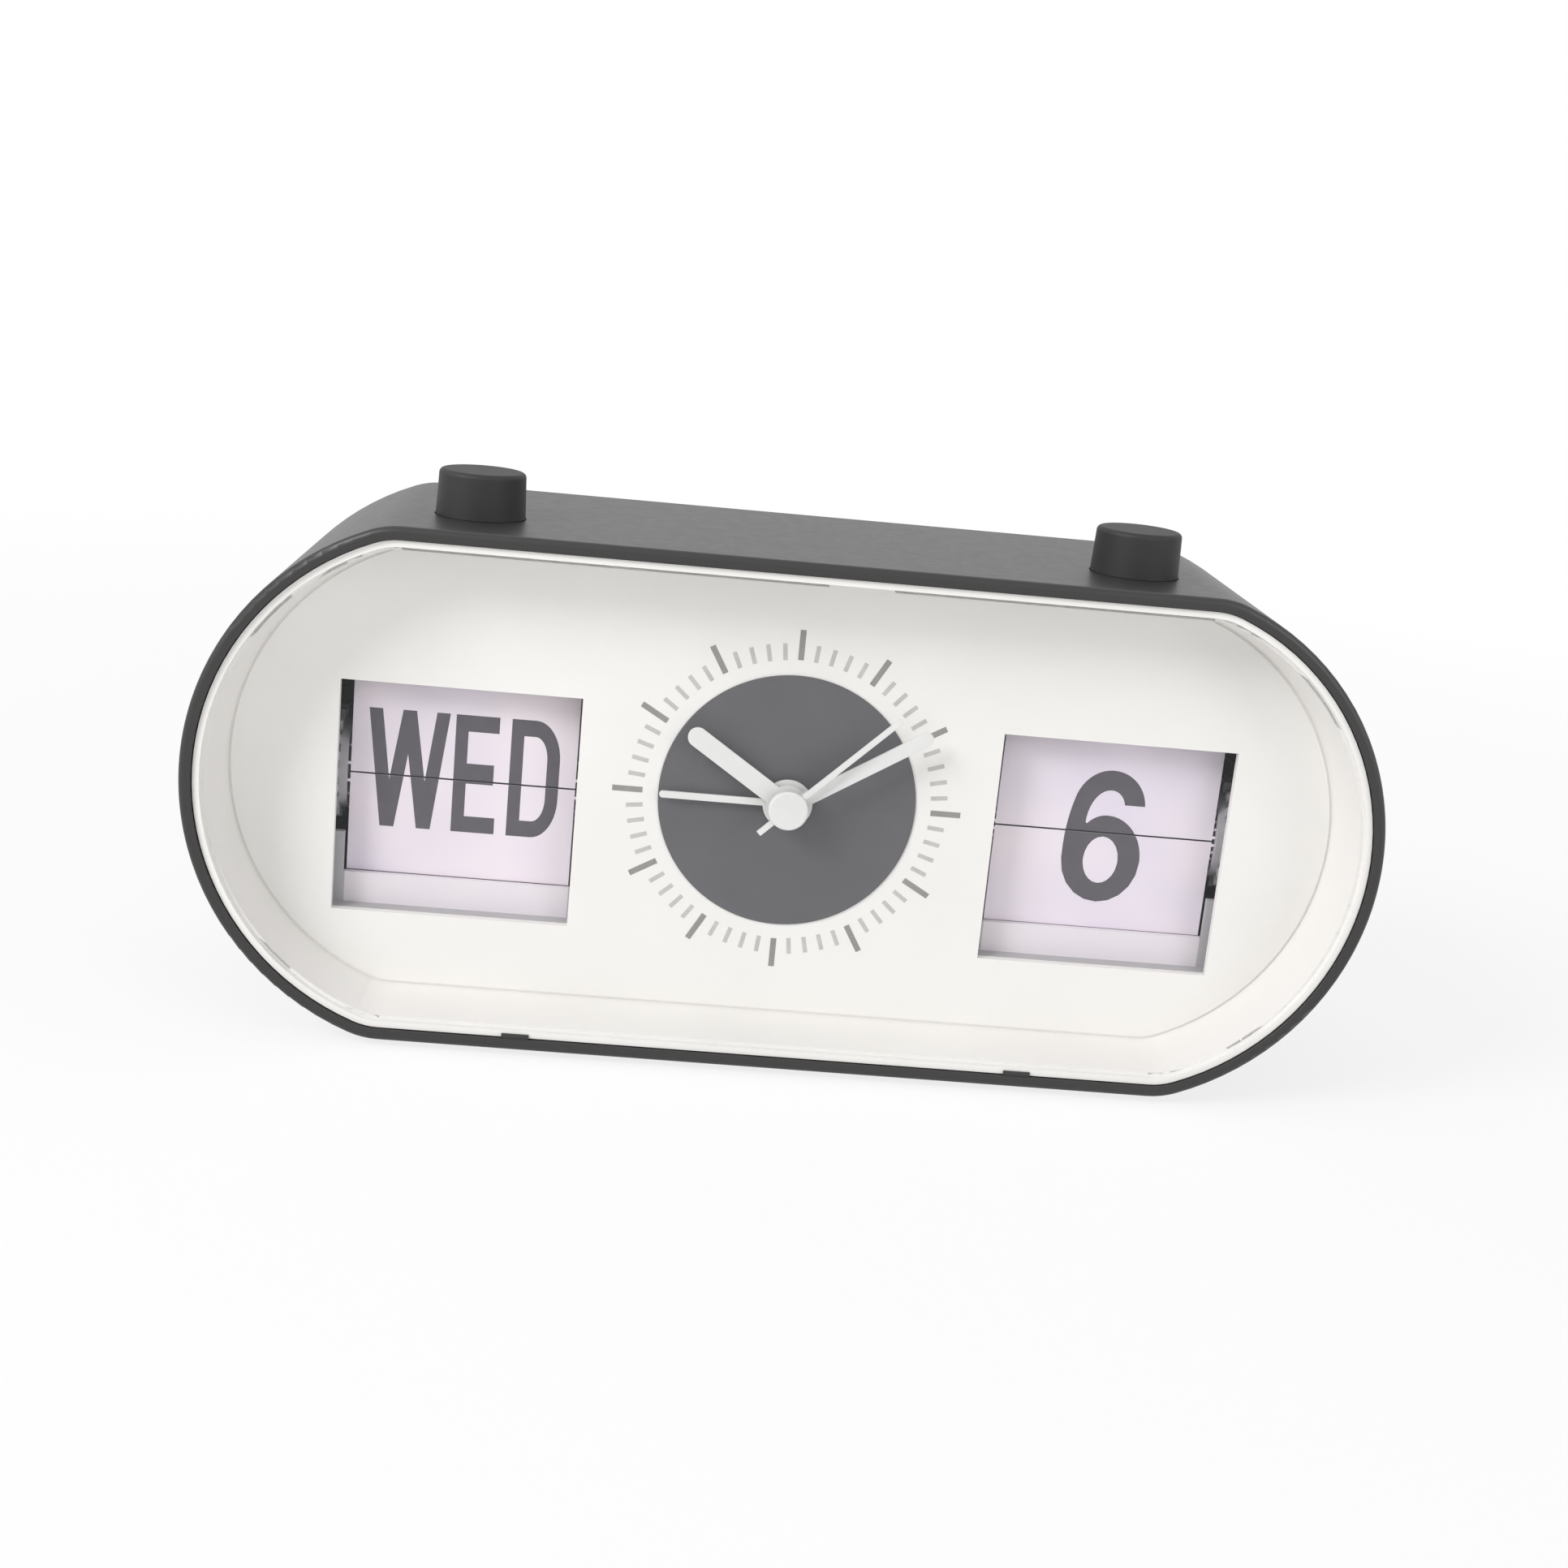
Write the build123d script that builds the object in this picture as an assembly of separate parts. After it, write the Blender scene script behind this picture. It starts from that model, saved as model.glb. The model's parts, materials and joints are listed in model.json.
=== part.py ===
"""Table alarm clock with a flip day and date calendar, as an assembly of separate pieces.

Millimetres. The model is drawn with x to the right and z up from the middle of the dial, and with y
as the depth behind the front edge of the case. The last step moves it onto its feet.
"""
import math
import os

from build123d import *

# Case
case_width = 200.8
case_height = 87.5
case_depth = 59.9
end_bulge = 2.2
shoulder_radius = 14.0
wall = 2.1
front_round = 1.0
rear_round = 3.5
lip_width = 6.0
cover_recess = 2.5
cover_thickness = 2.5
cover_seat_width = 3.0
cover_seat_thickness = 2.5
fit_gap = 0.15
seat_gap = 0.1

# How far cutting and joining shapes reach past a face
overreach = 1.0

# Window side of the case
lens_recess = 0.6
lens_thickness = 1.2
lens_seat = 0.6
tab_x = 43.0
tab_width = 4.6
tab_height = 0.8
tab_recess = 0.25
dial_recess = 14.3
dial_thickness = 1.5
bezel_lip = 1.1
bezel_foot_inset = 5.2
dial_edge_overlap = 1.6
dial_groove_width = 0.4
dial_groove_depth = 0.25
ledge_thickness = 1.5
window_width = 40.8
window_height = 40.7
window_from_end = 43.9
window_z = -5.3
disc_radius = 22.2
disc_thickness = 0.25
hand_hole_gap = 0.8

# Hands
hour_hand_length = 21.2
hour_hand_width = 3.4
minute_hand_length = 27.5
minute_hand_width = 2.4
second_hand_length = 24.6
second_hand_width = 1.0
second_hand_tail = 6.5
alarm_hand_length = 22.0
alarm_hand_width = 1.2
hand_thickness = 0.4
hand_spacing = 1.3
first_hand_height = 1.8
hub_cap_radius = 3.4
hub_cap_thickness = 1.2
hub_cap_round = 0.4
hand_boss_wall = 1.7
hour_angle = 303.5
minute_angle = 58.0
second_angle = 45.8
alarm_angle = 270.0

# Gears
pressure_angle = 20.0
tooth_addendum = 0.9
tooth_dedendum = 1.2
tooth_thinning = 0.07
flank_steps = 4
wheel_thickness = 1.0
wheel_spacing = 0.6
pinion_overhang = 0.2
cannon_teeth = 12
motion_teeth = 36
motion_module = 0.5
motion_pinion_teeth = 10
hour_teeth = 40
alarm_teeth = 40
alarm_pinion_teeth = 20
alarm_module = 0.4
second_pinion_teeth = 10
third_teeth = 75
third_pinion_teeth = 10
centre_teeth = 80
centre_module = 0.2
second_teeth = 60
middle_pinion_teeth = 12
second_module = 0.25
middle_teeth = 48
rotor_teeth = 8
rotor_module = 0.2

# Shafts and pipes of the movement
run_gap = 0.06
press_gap = 0.02
second_arbor_radius = 0.6
pipe_wall = 0.6
arbor_radius = 0.6
setting_shaft_radius = 1.4
pivot_seat = 0.5

# Movement housing
movement_width = 46.0
movement_height = 46.0
movement_drop = 2.0
movement_wall = 1.4
movement_corner = 3.0
movement_shelf = 1.0
bridge_thickness = 0.8
rotor_radius = 2.5
rotor_thickness = 2.0
stator_thickness = 0.8
stator_gap = 0.4
stator_margin = 2.5
stator_rise = 4.5
coil_radius = 3.0
coil_length = 22.0
coil_flange = 1.0
coil_flange_rise = 0.1
board_thickness = 1.0
board_width = 32.0
board_gap = 2.0
crystal_length = 8.0
crystal_size = 2.2
crystal_x = -8.0
crystal_drop = 3.9
ear_size = 6.0
ear_thickness = 1.6

# Small screws inside
screw_radius = 0.95
screw_hole_radius = 1.0
screw_head_radius = 1.9
screw_head_height = 1.2
screw_bite = 1.1
post_screw_bite = 2.2

# Flip calendar
axis_drop = 2.6
hinge_radius = 7.0
leaf_depth = 5.9
day_leaves = 14
date_leaves = 31
leaf_side_gap = 1.0
leaf_reach = 17.6
leaf_thickness = 0.15
split_gap = 0.3
module_shift = 0.35
module_inset = 0.15
ear_length = 1.6
ear_width = 0.5
hub_margin = 1.2
ear_gap = 0.17
hub_gap = 0.5
hub_thickness = 1.4
core_gap = 2.6
axle_radius = 1.5
drum_teeth = 18
wheel_show = 2.7
drum_module = 1.0
drum_gear_width = 4.0
thumbwheel_pin_radius = 2.0
side_gap = 0.4
cheek_thickness = 1.4
cheek_above = 9.5
cheek_behind = 9.0
apron_thickness = 1.2
apron_gap = 0.06
apron_clearance = 0.12
horn_top = 10.5
sill_thickness = 1.2
flange_height = 7.0
flange_thickness = 1.6
flange_screw_x = 14.0
catch_clearance = 0.3
catch_thickness = 0.3
catch_width = 12.0
catch_foot = 6.0

# Top buttons
button_shift = 0.9
button_depth = 19.75
button_radius = 7.5
button_top_radius = 7.2
button_height = 7.65
button_travel = 1.1
button_edge_round = 0.8
button_recess = 1.2
stem_gap = 0.75
stem_radius = 2.6
flange_radius = 4.9
button_flange_thickness = 1.2
tip_radius = 1.4
tip_length = 3.2
board_drop = 10.2
switch_board_length = 34.0
switch_board_width = 13.0
switch_board_thickness = 1.6
post_spacing = 26.0
post_radius = 2.3
switch_size = 4.5
switch_body_height = 3.2
plunger_radius = 1.1
spring_radius = 4.0
spring_wire_radius = 0.3
spring_turns = 5

# Rear
knob_radius = 7.0
knob_height = 7.0
knob_gap = 0.6
knob_cap = 1.0
knob_grips = 18
knob_grip_radius = 0.7
knob_grip_depth = 0.45
rear_screw_from_shoulder = 6.15
rear_screw_inset = 5.4
rear_boss_radius = 3.5
rear_boss_length = 10.0
rear_screw_radius = 1.45
rear_screw_hole_radius = 1.5
rear_screw_length = 9.0
rear_head_radius = 2.9
rear_head_height = 1.4
cross_length = 3.6
cross_width = 0.8
cross_depth = 0.6
slot_clearance = 0.8
sounder_drop = 23.2
sounder_radius = 11.0
sounder_thickness = 3.5
sounder_rim = 3.0
sounder_dish = 1.0
sound_hole_radius = 1.0
sound_hole_ring = 5.0
sound_hole_count = 6

# Battery
cell_radius = 7.1
cell_length = 49.2
cell_nub_radius = 2.7
cell_nub_length = 1.3
cell_rise = 19.6
cell_clearance = 0.3
holder_wall = 1.2
contact_thickness = 0.4
contact_inset = 2.0
contact_sink = 0.15
opening_lip = 0.5
contact_spring_length = 3.6
contact_spring_turns = 3
contact_spring_radius = 3.2
contact_wire_radius = 0.35
door_thickness = 1.5
door_seat = 1.5
door_gap = 0.25
door_grip_count = 5
door_grip_length = 12.0
door_grip_pitch = 1.6
door_grip_width = 0.8
door_grip_depth = 0.5

# Feet
foot_height = 1.2
foot_radius = 5.5
foot_from_shoulder = 14.15
foot_front = 11.0
foot_from_rear = 12.9

# Levels that follow from the sizes above
half_height = case_height / 2
end_radius = half_height + end_bulge
end_centre_x = case_width / 2 - end_radius
shoulder_z = half_height - shoulder_radius
shoulder_reach = end_radius - shoulder_radius
shoulder_x = end_centre_x + math.sqrt(shoulder_reach ** 2 - shoulder_z ** 2)
window_x = case_width / 2 - window_from_end
inner_inset = wall + fit_gap
lip_inset = inner_inset + bezel_lip
lens_back = lens_recess + lens_thickness
dial_front = dial_recess
dial_back = dial_front + dial_thickness
ledge_back = dial_back + ledge_thickness
dial_inset = bezel_foot_inset - dial_edge_overlap
cover_back = case_depth - cover_recess
cover_front = cover_back - cover_thickness
seat_front = cover_front - cover_seat_thickness
knob_front = cover_back + knob_gap
knob_back = knob_front + knob_height
total_depth = max(knob_back, case_depth)
axis_z = -axis_drop
drum_depth = dial_front + leaf_depth + hinge_radius
window_bottom = window_z - window_height / 2
top_inside = half_height - wall

# Depths of the wheels, one layer behind the other
plate_back = dial_back + movement_wall
layer = wheel_thickness + wheel_spacing
alarm_level = plate_back + wheel_spacing
hour_level = alarm_level + layer
motion_level = hour_level + layer
bridge_front = motion_level + layer
bridge_back = bridge_front + bridge_thickness
centre_level = bridge_back + wheel_spacing
third_level = centre_level + layer
second_level = third_level + layer
middle_level = second_level + layer
rotor_front = middle_level + layer
rotor_back = rotor_front + rotor_thickness
rear_wall_front = rotor_back + wheel_spacing
movement_back = rear_wall_front + movement_wall

# Places of the arbors round the middle of the dial
motion_x = (cannon_teeth + motion_teeth) / 2 * motion_module
hour_module = motion_x / ((motion_pinion_teeth + hour_teeth) / 2)
alarm_x = -(alarm_teeth + alarm_pinion_teeth) / 2 * alarm_module
third_z = (third_pinion_teeth + centre_teeth) / 2 * centre_module
third_module = third_z / ((second_pinion_teeth + third_teeth) / 2)
middle_z = -(second_teeth + middle_pinion_teeth) / 2 * second_module
rotor_z = middle_z - (middle_teeth + rotor_teeth) / 2 * rotor_module

# Pipes, each one running on the one inside it
minute_bore = second_arbor_radius + run_gap
minute_radius = minute_bore + pipe_wall
hour_bore = minute_radius + run_gap
hour_radius = hour_bore + pipe_wall
alarm_bore = hour_radius + run_gap
alarm_radius = alarm_bore + pipe_wall
hand_hole_radius = alarm_radius + hand_hole_gap

# Front faces of the hands, measured in depth
alarm_hand_front = dial_front - first_hand_height
hour_hand_front = alarm_hand_front - hand_spacing
minute_hand_front = hour_hand_front - hand_spacing
second_hand_front = minute_hand_front - hand_spacing
cap_front = second_hand_front - hub_cap_thickness + hand_thickness

# Flip calendar places across the width, measured from the middle of the leaves
leaf_width = window_width - 2 * leaf_side_gap
leaf_half = leaf_width / 2
hub_radius = hinge_radius + hub_margin
hub_hole_radius = ear_width / 2 + ear_gap
core_radius = hinge_radius - core_gap
hub_inside = leaf_half + hub_gap
hub_outside = hub_inside + hub_thickness
gear_outside = hub_outside + drum_gear_width
inner_cheek_inside = hub_outside + side_gap
inner_cheek_outside = inner_cheek_inside + cheek_thickness
outer_cheek_inside = gear_outside + side_gap
outer_cheek_outside = outer_cheek_inside + cheek_thickness
drum_tip_radius = (drum_teeth / 2 + tooth_addendum) * drum_module
wheel_reach = cover_back + wheel_show - drum_depth - drum_tip_radius
wheel_teeth = round(wheel_reach / drum_module)
wheel_distance = (drum_teeth + wheel_teeth) / 2 * drum_module
wheel_depth = drum_depth + wheel_distance
wheel_tip_radius = (wheel_teeth / 2 + tooth_addendum) * drum_module
apron_back = drum_depth - hinge_radius - apron_clearance
apron_front = apron_back - apron_thickness
apron_top = axis_z - leaf_reach - apron_gap
frame_bottom = window_bottom - sill_thickness

# Heights of the button pieces
button_x = window_x - button_shift
stem_depth = ledge_back + flange_radius + stem_gap
button_flange_top = top_inside - seat_gap
button_flange_bottom = button_flange_top - button_flange_thickness
tip_bottom = button_flange_bottom - tip_length
board_top = top_inside - board_drop
board_bottom = board_top - switch_board_thickness
plunger_top = tip_bottom - button_travel - seat_gap

# Battery places
cell_z = cell_rise - half_height
cell_depth = cover_front - cell_radius - cell_clearance
bay_front = cell_depth - cell_radius - cell_clearance
bay_half_height = cell_radius + cell_clearance
bay_half_length = (cell_length + cell_nub_length + contact_spring_length) / 2 + contact_thickness
opening_half_length = bay_half_length - opening_lip

# Rear and foot places
rear_screw_x = shoulder_x - rear_screw_from_shoulder
rear_screw_z = half_height - lip_width - rear_screw_inset
sounder_z = half_height - sounder_drop
foot_x = shoulder_x - foot_from_shoulder
foot_rear = case_depth - foot_from_rear


def section(depth):
    """Plane across the clock at a depth: local x is x and local y is z."""
    return Plane(origin=(0, depth, 0), x_dir=(1, 0, 0), z_dir=(0, -1, 0))


def slab(sketch, front, back):
    """Solid from a front view sketch, between two depths."""
    return extrude(section(front) * sketch, amount=front - back)


def side_slab(sketch, x_low, x_high):
    """Solid from a side view sketch, with local x as depth and local y as z."""
    plane = Plane(origin=(x_low, 0, 0), x_dir=(0, 1, 0), z_dir=(1, 0, 0))
    return extrude(plane * sketch, amount=x_high - x_low)


def column(sketch, z_low, z_high):
    """Solid from a top view sketch, with local y as depth."""
    return extrude(Plane.XY.offset(z_low) * sketch, amount=z_high - z_low)


def block(x_low, x_high, front, back, z_low, z_high):
    """Box between pairs of x, depth and z."""
    centre = ((x_low + x_high) / 2, (front + back) / 2, (z_low + z_high) / 2)
    return Pos(*centre) * Box(x_high - x_low, back - front, z_high - z_low)


def rod(x, z, radius, front, back):
    """Round rod along the depth."""
    return slab(Pos(x, z) * Circle(radius), front, back)


def group(solids):
    """Separate solids that share one node."""
    return Compound(children=[solid.solid() for solid in solids])


def case_outline(inset):
    """Flattened oval of the case: flat top and bottom, wide end arcs and small shoulder arcs."""
    height = half_height - inset
    radius = end_radius - inset
    along = (shoulder_x - end_centre_x) / shoulder_reach
    up = shoulder_z / shoulder_reach
    shoulder = shoulder_radius - inset
    join = (end_centre_x + radius * along, radius * up)
    half_turn = math.atan2(up, along) / 2 + math.pi / 4
    middle = (shoulder_x + shoulder * math.cos(half_turn), shoulder_z + shoulder * math.sin(half_turn))
    tip = (end_centre_x + radius, 0)

    def flip(point, sign_x, sign_z):
        return point[0] * sign_x, point[1] * sign_z

    start = (shoulder_x, height)
    edges = []
    for side in (1, -1):
        edges.append(Line(flip(start, -1, side), flip(start, 1, side)))
        edges.append(ThreePointArc(flip(join, side, -1), flip(tip, side, 1), flip(join, side, 1)))
        for level in (1, -1):
            corner = [flip(point, side, level) for point in (start, middle, join)]
            edges.append(ThreePointArc(*corner))
    return make_face(Wire.combine(edges)[0])


def gear_face(teeth, module, turn):
    """Involute spur gear with one tooth centred at the angle turn, in degrees."""
    pressure = math.radians(pressure_angle)
    pitch_radius = teeth * module / 2
    base_radius = pitch_radius * math.cos(pressure)
    tip = pitch_radius + tooth_addendum * module
    root = pitch_radius - tooth_dedendum * module
    half_tooth = math.pi / teeth * (1 - 2 * tooth_thinning) / 2
    start = max(base_radius, root)

    def involute(angle):
        return math.tan(angle) - angle

    def half_angle(radius):
        return half_tooth + involute(pressure) - involute(math.acos(min(1.0, base_radius / radius)))

    radii = [start + (tip - start) * step / flank_steps for step in range(flank_steps + 1)]
    flank = [(radius, half_angle(radius)) for radius in radii]
    if root < start:
        flank.insert(0, (root, half_angle(start)))
    points = []
    for tooth in range(teeth):
        centre = math.radians(turn) + 2 * math.pi * tooth / teeth
        rising = [(radius, centre - angle) for radius, angle in flank]
        falling = [(radius, centre + angle) for radius, angle in reversed(flank)]
        for radius, angle in rising + falling:
            points.append((radius * math.cos(angle), radius * math.sin(angle)))
    return make_face(Polyline(*points, close=True))


def meshing_turn(teeth, direction):
    """Turn that puts a tooth gap towards a partner lying in the given direction, in degrees."""
    return direction + 180.0 / teeth


def gear(x, z, teeth, module, turn, front, back):
    """Spur gear across the depth."""
    return slab(Pos(x, z) * gear_face(teeth, module, turn), front, back)


def pinion(x, z, teeth, module, turn, level):
    """Small gear, a little wider than the wheel it meets."""
    return gear(x, z, teeth, module, turn, level - pinion_overhang, level + wheel_thickness + pinion_overhang)


def make_case_shell():
    shell = slab(case_outline(0), 0, case_depth)
    shell = fillet(shell.faces().sort_by(Axis.Y)[-1].edges(), rear_round)
    shell = fillet(shell.faces().sort_by(Axis.Y)[0].edges(), front_round)
    shell -= slab(case_outline(wall), -overreach, seat_front)
    shell -= slab(case_outline(lip_width + cover_seat_width), seat_front - overreach, cover_front + overreach)
    shell -= slab(case_outline(lip_width), cover_front, case_depth + overreach)
    shell += slab(case_outline(wall / 2) - case_outline(bezel_foot_inset), dial_back, ledge_back)
    for side in (1, -1):
        shell += block(
            side * tab_x - tab_width / 2, side * tab_x + tab_width / 2,
            tab_recess, lens_recess,
            -half_height + wall / 2, -half_height + wall + tab_height,
        )
        for level in (1, -1):
            x = side * rear_screw_x
            z = level * rear_screw_z
            shell += rod(x, z, rear_boss_radius, cover_front - rear_boss_length, cover_front)
            hole_front = cover_front - rear_screw_length
            shell -= rod(x, z, rear_screw_hole_radius, hole_front, cover_front + overreach)
        button = Pos(side * button_x, button_depth)
        stem = Pos(side * button_x, stem_depth)
        recess_floor = half_height - button_recess
        shell -= column(button * Circle(button_radius + fit_gap), recess_floor, half_height + overreach)
        shell -= column(stem * Circle(stem_radius + fit_gap), top_inside - overreach, half_height)
        for end in (1, -1):
            post = Pos(side * button_x + end * post_spacing / 2, stem_depth)
            shell += column(post * Circle(post_radius), board_top, half_height - wall / 2)
            hole_top = board_top + post_screw_bite + overreach
            shell -= column(post * Circle(screw_hole_radius), board_top - overreach, hole_top)
    return shell


def make_front_lens():
    return slab(case_outline(lip_inset + fit_gap), lens_recess, lens_back)


def make_inner_bezel():
    """Ring with a front lip round the lens, a seat behind it and a slope down to the dial."""
    ring = slab(case_outline(inner_inset), lens_recess, dial_back)
    ring -= slab(case_outline(lip_inset), lens_recess - overreach, lens_back)
    front = section(lens_back) * case_outline(lip_inset + lens_seat)
    foot = section(dial_front) * case_outline(bezel_foot_inset)
    ring -= loft([front, foot], ruled=True)
    return ring - slab(case_outline(dial_inset - fit_gap), dial_front, dial_back + overreach)


def window(side):
    return Pos(side * window_x, window_z) * Rectangle(window_width, window_height)


def inner_screw_places():
    """Places of the screws behind the dial, as x and z."""
    places = []
    for side in (1, -1):
        for end in (1, -1):
            places.append((flip_centre(side) + end * flange_screw_x, flange_middle()))
            places.append((side * (movement_width + ear_size) / 2, ear_z(end)))
    return places


def flip_centre(side):
    return side * (window_x - module_inset) + module_shift


def flange_middle():
    return frame_bottom - flange_height / 2


def ear_z(end):
    return -movement_drop + end * (movement_height - ear_size) / 2


def make_dial_plate():
    sketch = case_outline(dial_inset) - window(1) - window(-1) - Circle(hand_hole_radius)
    plate = slab(sketch, dial_front, dial_back)
    groove = case_outline(bezel_foot_inset) - case_outline(bezel_foot_inset + dial_groove_width)
    plate -= slab(groove, dial_front - overreach, dial_front + dial_groove_depth)
    for x, z in inner_screw_places():
        plate -= rod(x, z, screw_hole_radius, dial_back - screw_bite, dial_back + overreach)
    return plate


def make_dial_centre_disc():
    return slab(Circle(disc_radius) - Circle(hand_hole_radius), dial_front - disc_thickness, dial_front)


def clock_direction(angle):
    """Angle in the front view, anticlockwise from x, of a clock angle taken clockwise from twelve."""
    return 90.0 - angle


def hand(length, width, tail, boss_radius, bore, angle, front):
    """Straight hand with round ends and a boss on its pipe."""
    blade = Rectangle(length - width / 2 + tail, width, align=(Align.MIN, Align.CENTER))
    outline = Pos(-tail, 0) * blade + Pos(length - width / 2, 0) * Circle(width / 2) + Circle(boss_radius)
    outline -= Circle(bore)
    return slab(Rot(0, 0, clock_direction(angle)) * outline, front, front + hand_thickness)


def make_hands():
    second = hand(
        second_hand_length, second_hand_width, second_hand_tail, hub_cap_radius,
        second_arbor_radius + press_gap, second_angle, second_hand_front,
    )
    cap = rod(0, 0, hub_cap_radius, cap_front, second_hand_front)
    cap = fillet(cap.faces().sort_by(Axis.Y)[0].edges(), hub_cap_round)
    second += cap
    minute = hand(
        minute_hand_length, minute_hand_width, 0, minute_radius + hand_boss_wall,
        minute_radius + press_gap, minute_angle, minute_hand_front,
    )
    hour = hand(
        hour_hand_length, hour_hand_width, 0, hour_radius + hand_boss_wall,
        hour_radius + press_gap, hour_angle, hour_hand_front,
    )
    alarm = hand(
        alarm_hand_length, alarm_hand_width, 0, alarm_radius + hand_boss_wall,
        alarm_radius + press_gap, alarm_angle, alarm_hand_front,
    )
    return {"second_hand": second, "minute_hand": minute, "hour_hand": hour, "alarm_hand": alarm}


def make_wheels():
    level_back = wheel_thickness + pinion_overhang
    pivot_back = movement_back - pivot_seat
    wheels = {}

    second = rod(0, 0, second_arbor_radius, second_hand_front, pivot_back)
    second += pinion(0, 0, second_pinion_teeth, third_module, 90, third_level)
    second += gear(0, 0, second_teeth, second_module, -90, second_level, second_level + wheel_thickness)
    wheels["second_wheel"] = second

    third = rod(0, third_z, arbor_radius, bridge_front, pivot_back)
    third += gear(
        0, third_z, third_teeth, third_module, meshing_turn(third_teeth, -90),
        third_level, third_level + wheel_thickness,
    )
    third += pinion(0, third_z, third_pinion_teeth, centre_module, -90, centre_level)
    wheels["third_wheel"] = third

    centre_face = gear_face(centre_teeth, centre_module, meshing_turn(centre_teeth, 90))
    centre_face -= Circle(minute_radius + run_gap)
    wheels["centre_wheel"] = slab(centre_face, centre_level, centre_level + wheel_thickness)

    minute = slab(Circle(minute_radius), minute_hand_front, centre_level + level_back)
    minute += pinion(0, 0, cannon_teeth, motion_module, 0, motion_level)
    wheels["minute_pipe"] = minute - rod(0, 0, minute_bore, minute_hand_front - overreach, movement_back)

    motion = rod(motion_x, 0, setting_shaft_radius, dial_back + pivot_seat, knob_back - knob_cap)
    motion += gear(
        motion_x, 0, motion_teeth, motion_module, meshing_turn(motion_teeth, 180),
        motion_level, motion_level + wheel_thickness,
    )
    motion += pinion(motion_x, 0, motion_pinion_teeth, hour_module, 180, hour_level)
    wheels["motion_wheel"] = motion

    hour = slab(Circle(hour_radius), hour_hand_front, hour_level + wheel_thickness)
    hour += gear(
        0, 0, hour_teeth, hour_module, meshing_turn(hour_teeth, 0), hour_level, hour_level + wheel_thickness,
    )
    wheels["hour_wheel"] = hour - rod(0, 0, hour_bore, hour_hand_front - overreach, movement_back)

    alarm = slab(Circle(alarm_radius), alarm_hand_front, alarm_level + wheel_thickness)
    alarm += gear(
        0, 0, alarm_teeth, alarm_module, meshing_turn(alarm_teeth, 180),
        alarm_level, alarm_level + wheel_thickness,
    )
    wheels["alarm_wheel"] = alarm - rod(0, 0, alarm_bore, alarm_hand_front - overreach, movement_back)

    setter = rod(alarm_x, 0, setting_shaft_radius, dial_back + pivot_seat, knob_back - knob_cap)
    setter += pinion(alarm_x, 0, alarm_pinion_teeth, alarm_module, 0, alarm_level)
    wheels["alarm_set_shaft"] = setter

    middle = rod(0, middle_z, arbor_radius, bridge_front, pivot_back)
    middle += pinion(
        0, middle_z, middle_pinion_teeth, second_module, meshing_turn(middle_pinion_teeth, 90), second_level,
    )
    middle += gear(0, middle_z, middle_teeth, rotor_module, -90, middle_level, middle_level + wheel_thickness)
    wheels["intermediate_wheel"] = middle

    rotor = rod(0, rotor_z, arbor_radius, bridge_front, pivot_back)
    rotor += rod(0, rotor_z, rotor_radius, rotor_front, rotor_back)
    rotor += pinion(0, rotor_z, rotor_teeth, rotor_module, meshing_turn(rotor_teeth, 90), middle_level)
    wheels["rotor"] = rotor
    return wheels


def movement_outline(inset):
    width = movement_width - 2 * inset
    height = movement_height - 2 * inset
    return Pos(0, -movement_drop) * RectangleRounded(width, height, movement_corner - inset)


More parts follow.
